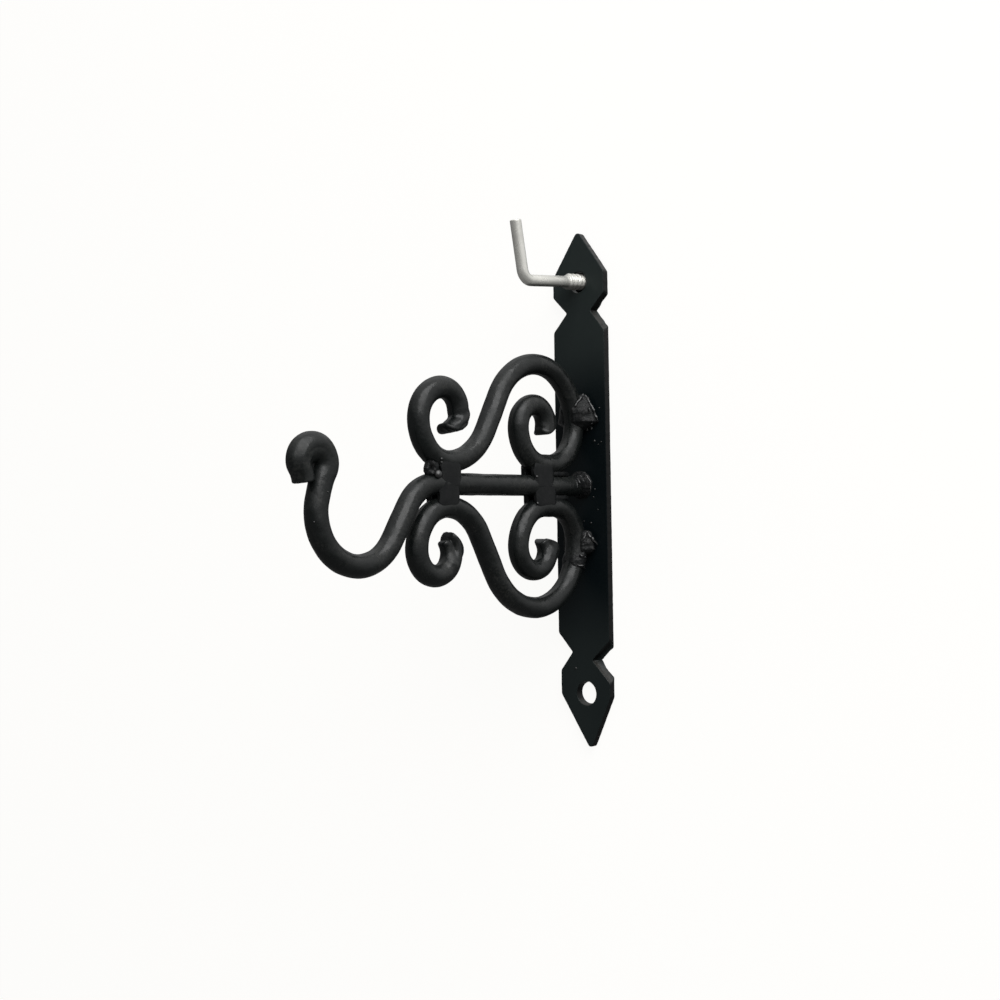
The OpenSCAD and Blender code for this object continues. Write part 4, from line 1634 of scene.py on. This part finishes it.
class BRACKET_OT_bar_welds(bpy.types.Operator):
    """Model the welds in the grooves between the arm and the scrolls"""

    bl_idname = "bracket.bar_welds"
    bl_label = "Bar welds"

    def execute(self, context):
        seed = 40
        for place in ("front_upper", "front_lower", "rear_upper", "rear_lower"):
            at_front = place.startswith("front")
            wide, further = FRONT_FILL if at_front else REAR_FILL
            up = 1 if place.endswith("upper") else -1
            for name, side in SIDES.items():
                node = f"{place}_weld_{name}"
                grids = [(bar_weld_grid(node, settings().bars, wide, further, seed), True)]
                if not at_front:
                    grids.append((web_grid(side, up, seed), True))
                make_piece(node + "_metal", grids, 60, [node], "painted_weld", "flush_weld")
                seed += 10
        lump = [(pitted_lump_grid("front_weld_lump", 7), True)]
        make_piece("front_lump_metal", lump, 60, ["front_weld_lump"], "painted_weld")
        return {"FINISHED"}


class BRACKET_OT_plate_welds(bpy.types.Operator):
    """Model the crumpled welds on the plate and the collar at the arm's foot"""

    bl_idname = "bracket.plate_welds"
    bl_label = "Plate welds"

    def execute(self, context):
        given = settings()
        stand_off = PLATE_T + given.bars.touch_gap + given.bars.rod_d / 2
        seed = 140
        for place, own, way in (("upper", given.upper, 1), ("lower", given.lower, -1)):
            bar_out, shapes = weld_shapes(own, given.scrolls, stand_off, way)
            for name, side in SIDES.items():
                node = f"{place}_plate_weld_{name}"
                grids = [
                    (wrap_weld_grid(bar_out, shape, side, seed + 3 * i), True)
                    for i, shape in enumerate(shapes)
                ]
                make_piece(node + "_metal", grids, 60, [node], "painted_weld")
                seed += 10
        collar = [(foot_weld_grid("arm_foot_weld", given.bars, 3), True)]
        make_piece("arm_foot_metal", collar, 60, ["arm_foot_weld"], "painted_weld")
        return {"FINISHED"}


class BRACKET_OT_spatter(bpy.types.Operator):
    """Model the beads of weld spatter and the ridges and ripples of the plate welds"""

    bl_idname = "bracket.spatter"
    bl_label = "Weld spatter"

    def execute(self, context):
        grids = []
        for x, z, size in SPATTER_ON_PLATE:
            place = np.array([x, 0, z]) * MILLI - np.array([0, PLATE_T, 0])
            grids.append((droplet(place, OUT_OF_PLATE, size * MILLI, len(grids)), True))
        for x, out, up, size in SPATTER_ON_BARS:
            place = np.array([x, out, up]) * OUT_TO_Y * MILLI
            grids.append((droplet(place, OUT_OF_BARS, size * MILLI, 30), True))
        strands = [(np.array(knots) * MILLI, thick) for knots, thick in WELD_RIDGES]
        for out, radius, thick, start, stop in FOOT_RIPPLES:
            strands.append((ripple_knots(out * MILLI, radius * MILLI, start, stop), thick))
        for knots, thick in strands:
            ridge = ridge_grid(knots * OUT_TO_Y, thick * MILLI, 50 + len(grids))
            grids.append((ridge, True))
        make_piece("weld_spatter", grids, 80, [], "painted_weld", "bright_weld")
        return {"FINISHED"}


CLASSES = (
    BracketStage,
    BracketBars,
    BracketUpperScroll,
    BracketLowerScroll,
    BracketScrolls,
    BracketArm,
    BracketPlate,
    BracketScrewHook,
    BracketFinish,
    BracketSettings,
    BRACKET_OT_stage,
    BRACKET_OT_back_plate,
    BRACKET_OT_scrolls,
    BRACKET_OT_hook_arm,
    BRACKET_OT_screw_hook,
    BRACKET_OT_bar_welds,
    BRACKET_OT_plate_welds,
    BRACKET_OT_spatter,
)

OPERATORS = [c for c in CLASSES if issubclass(c, bpy.types.Operator)]


class BRACKET_PT_panel(bpy.types.Panel):
    """The bracket's pieces, one button each"""

    bl_idname = "BRACKET_PT_panel"
    bl_label = "Lantern wall bracket"
    bl_space_type = "VIEW_3D"
    bl_region_type = "UI"
    bl_category = "Bracket"

    def draw(self, context):
        for operator in OPERATORS:
            self.layout.operator(operator.bl_idname)


def register():
    for c in (*CLASSES, BRACKET_PT_panel):
        bpy.utils.register_class(c)
    bpy.types.Scene.bracket = bpy.props.PointerProperty(type=BracketSettings)


def unregister():
    del bpy.types.Scene.bracket
    for c in reversed((*CLASSES, BRACKET_PT_panel)):
        bpy.utils.unregister_class(c)


def main():
    """Builds every piece in order."""
    register()
    bpy.ops.bracket.stage()
    bpy.ops.bracket.back_plate()
    bpy.ops.bracket.scrolls()
    bpy.ops.bracket.hook_arm()
    bpy.ops.bracket.screw_hook()
    bpy.ops.bracket.bar_welds()
    bpy.ops.bracket.plate_welds()
    bpy.ops.bracket.spatter()
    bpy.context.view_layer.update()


if __name__ == "__main__":
    main()
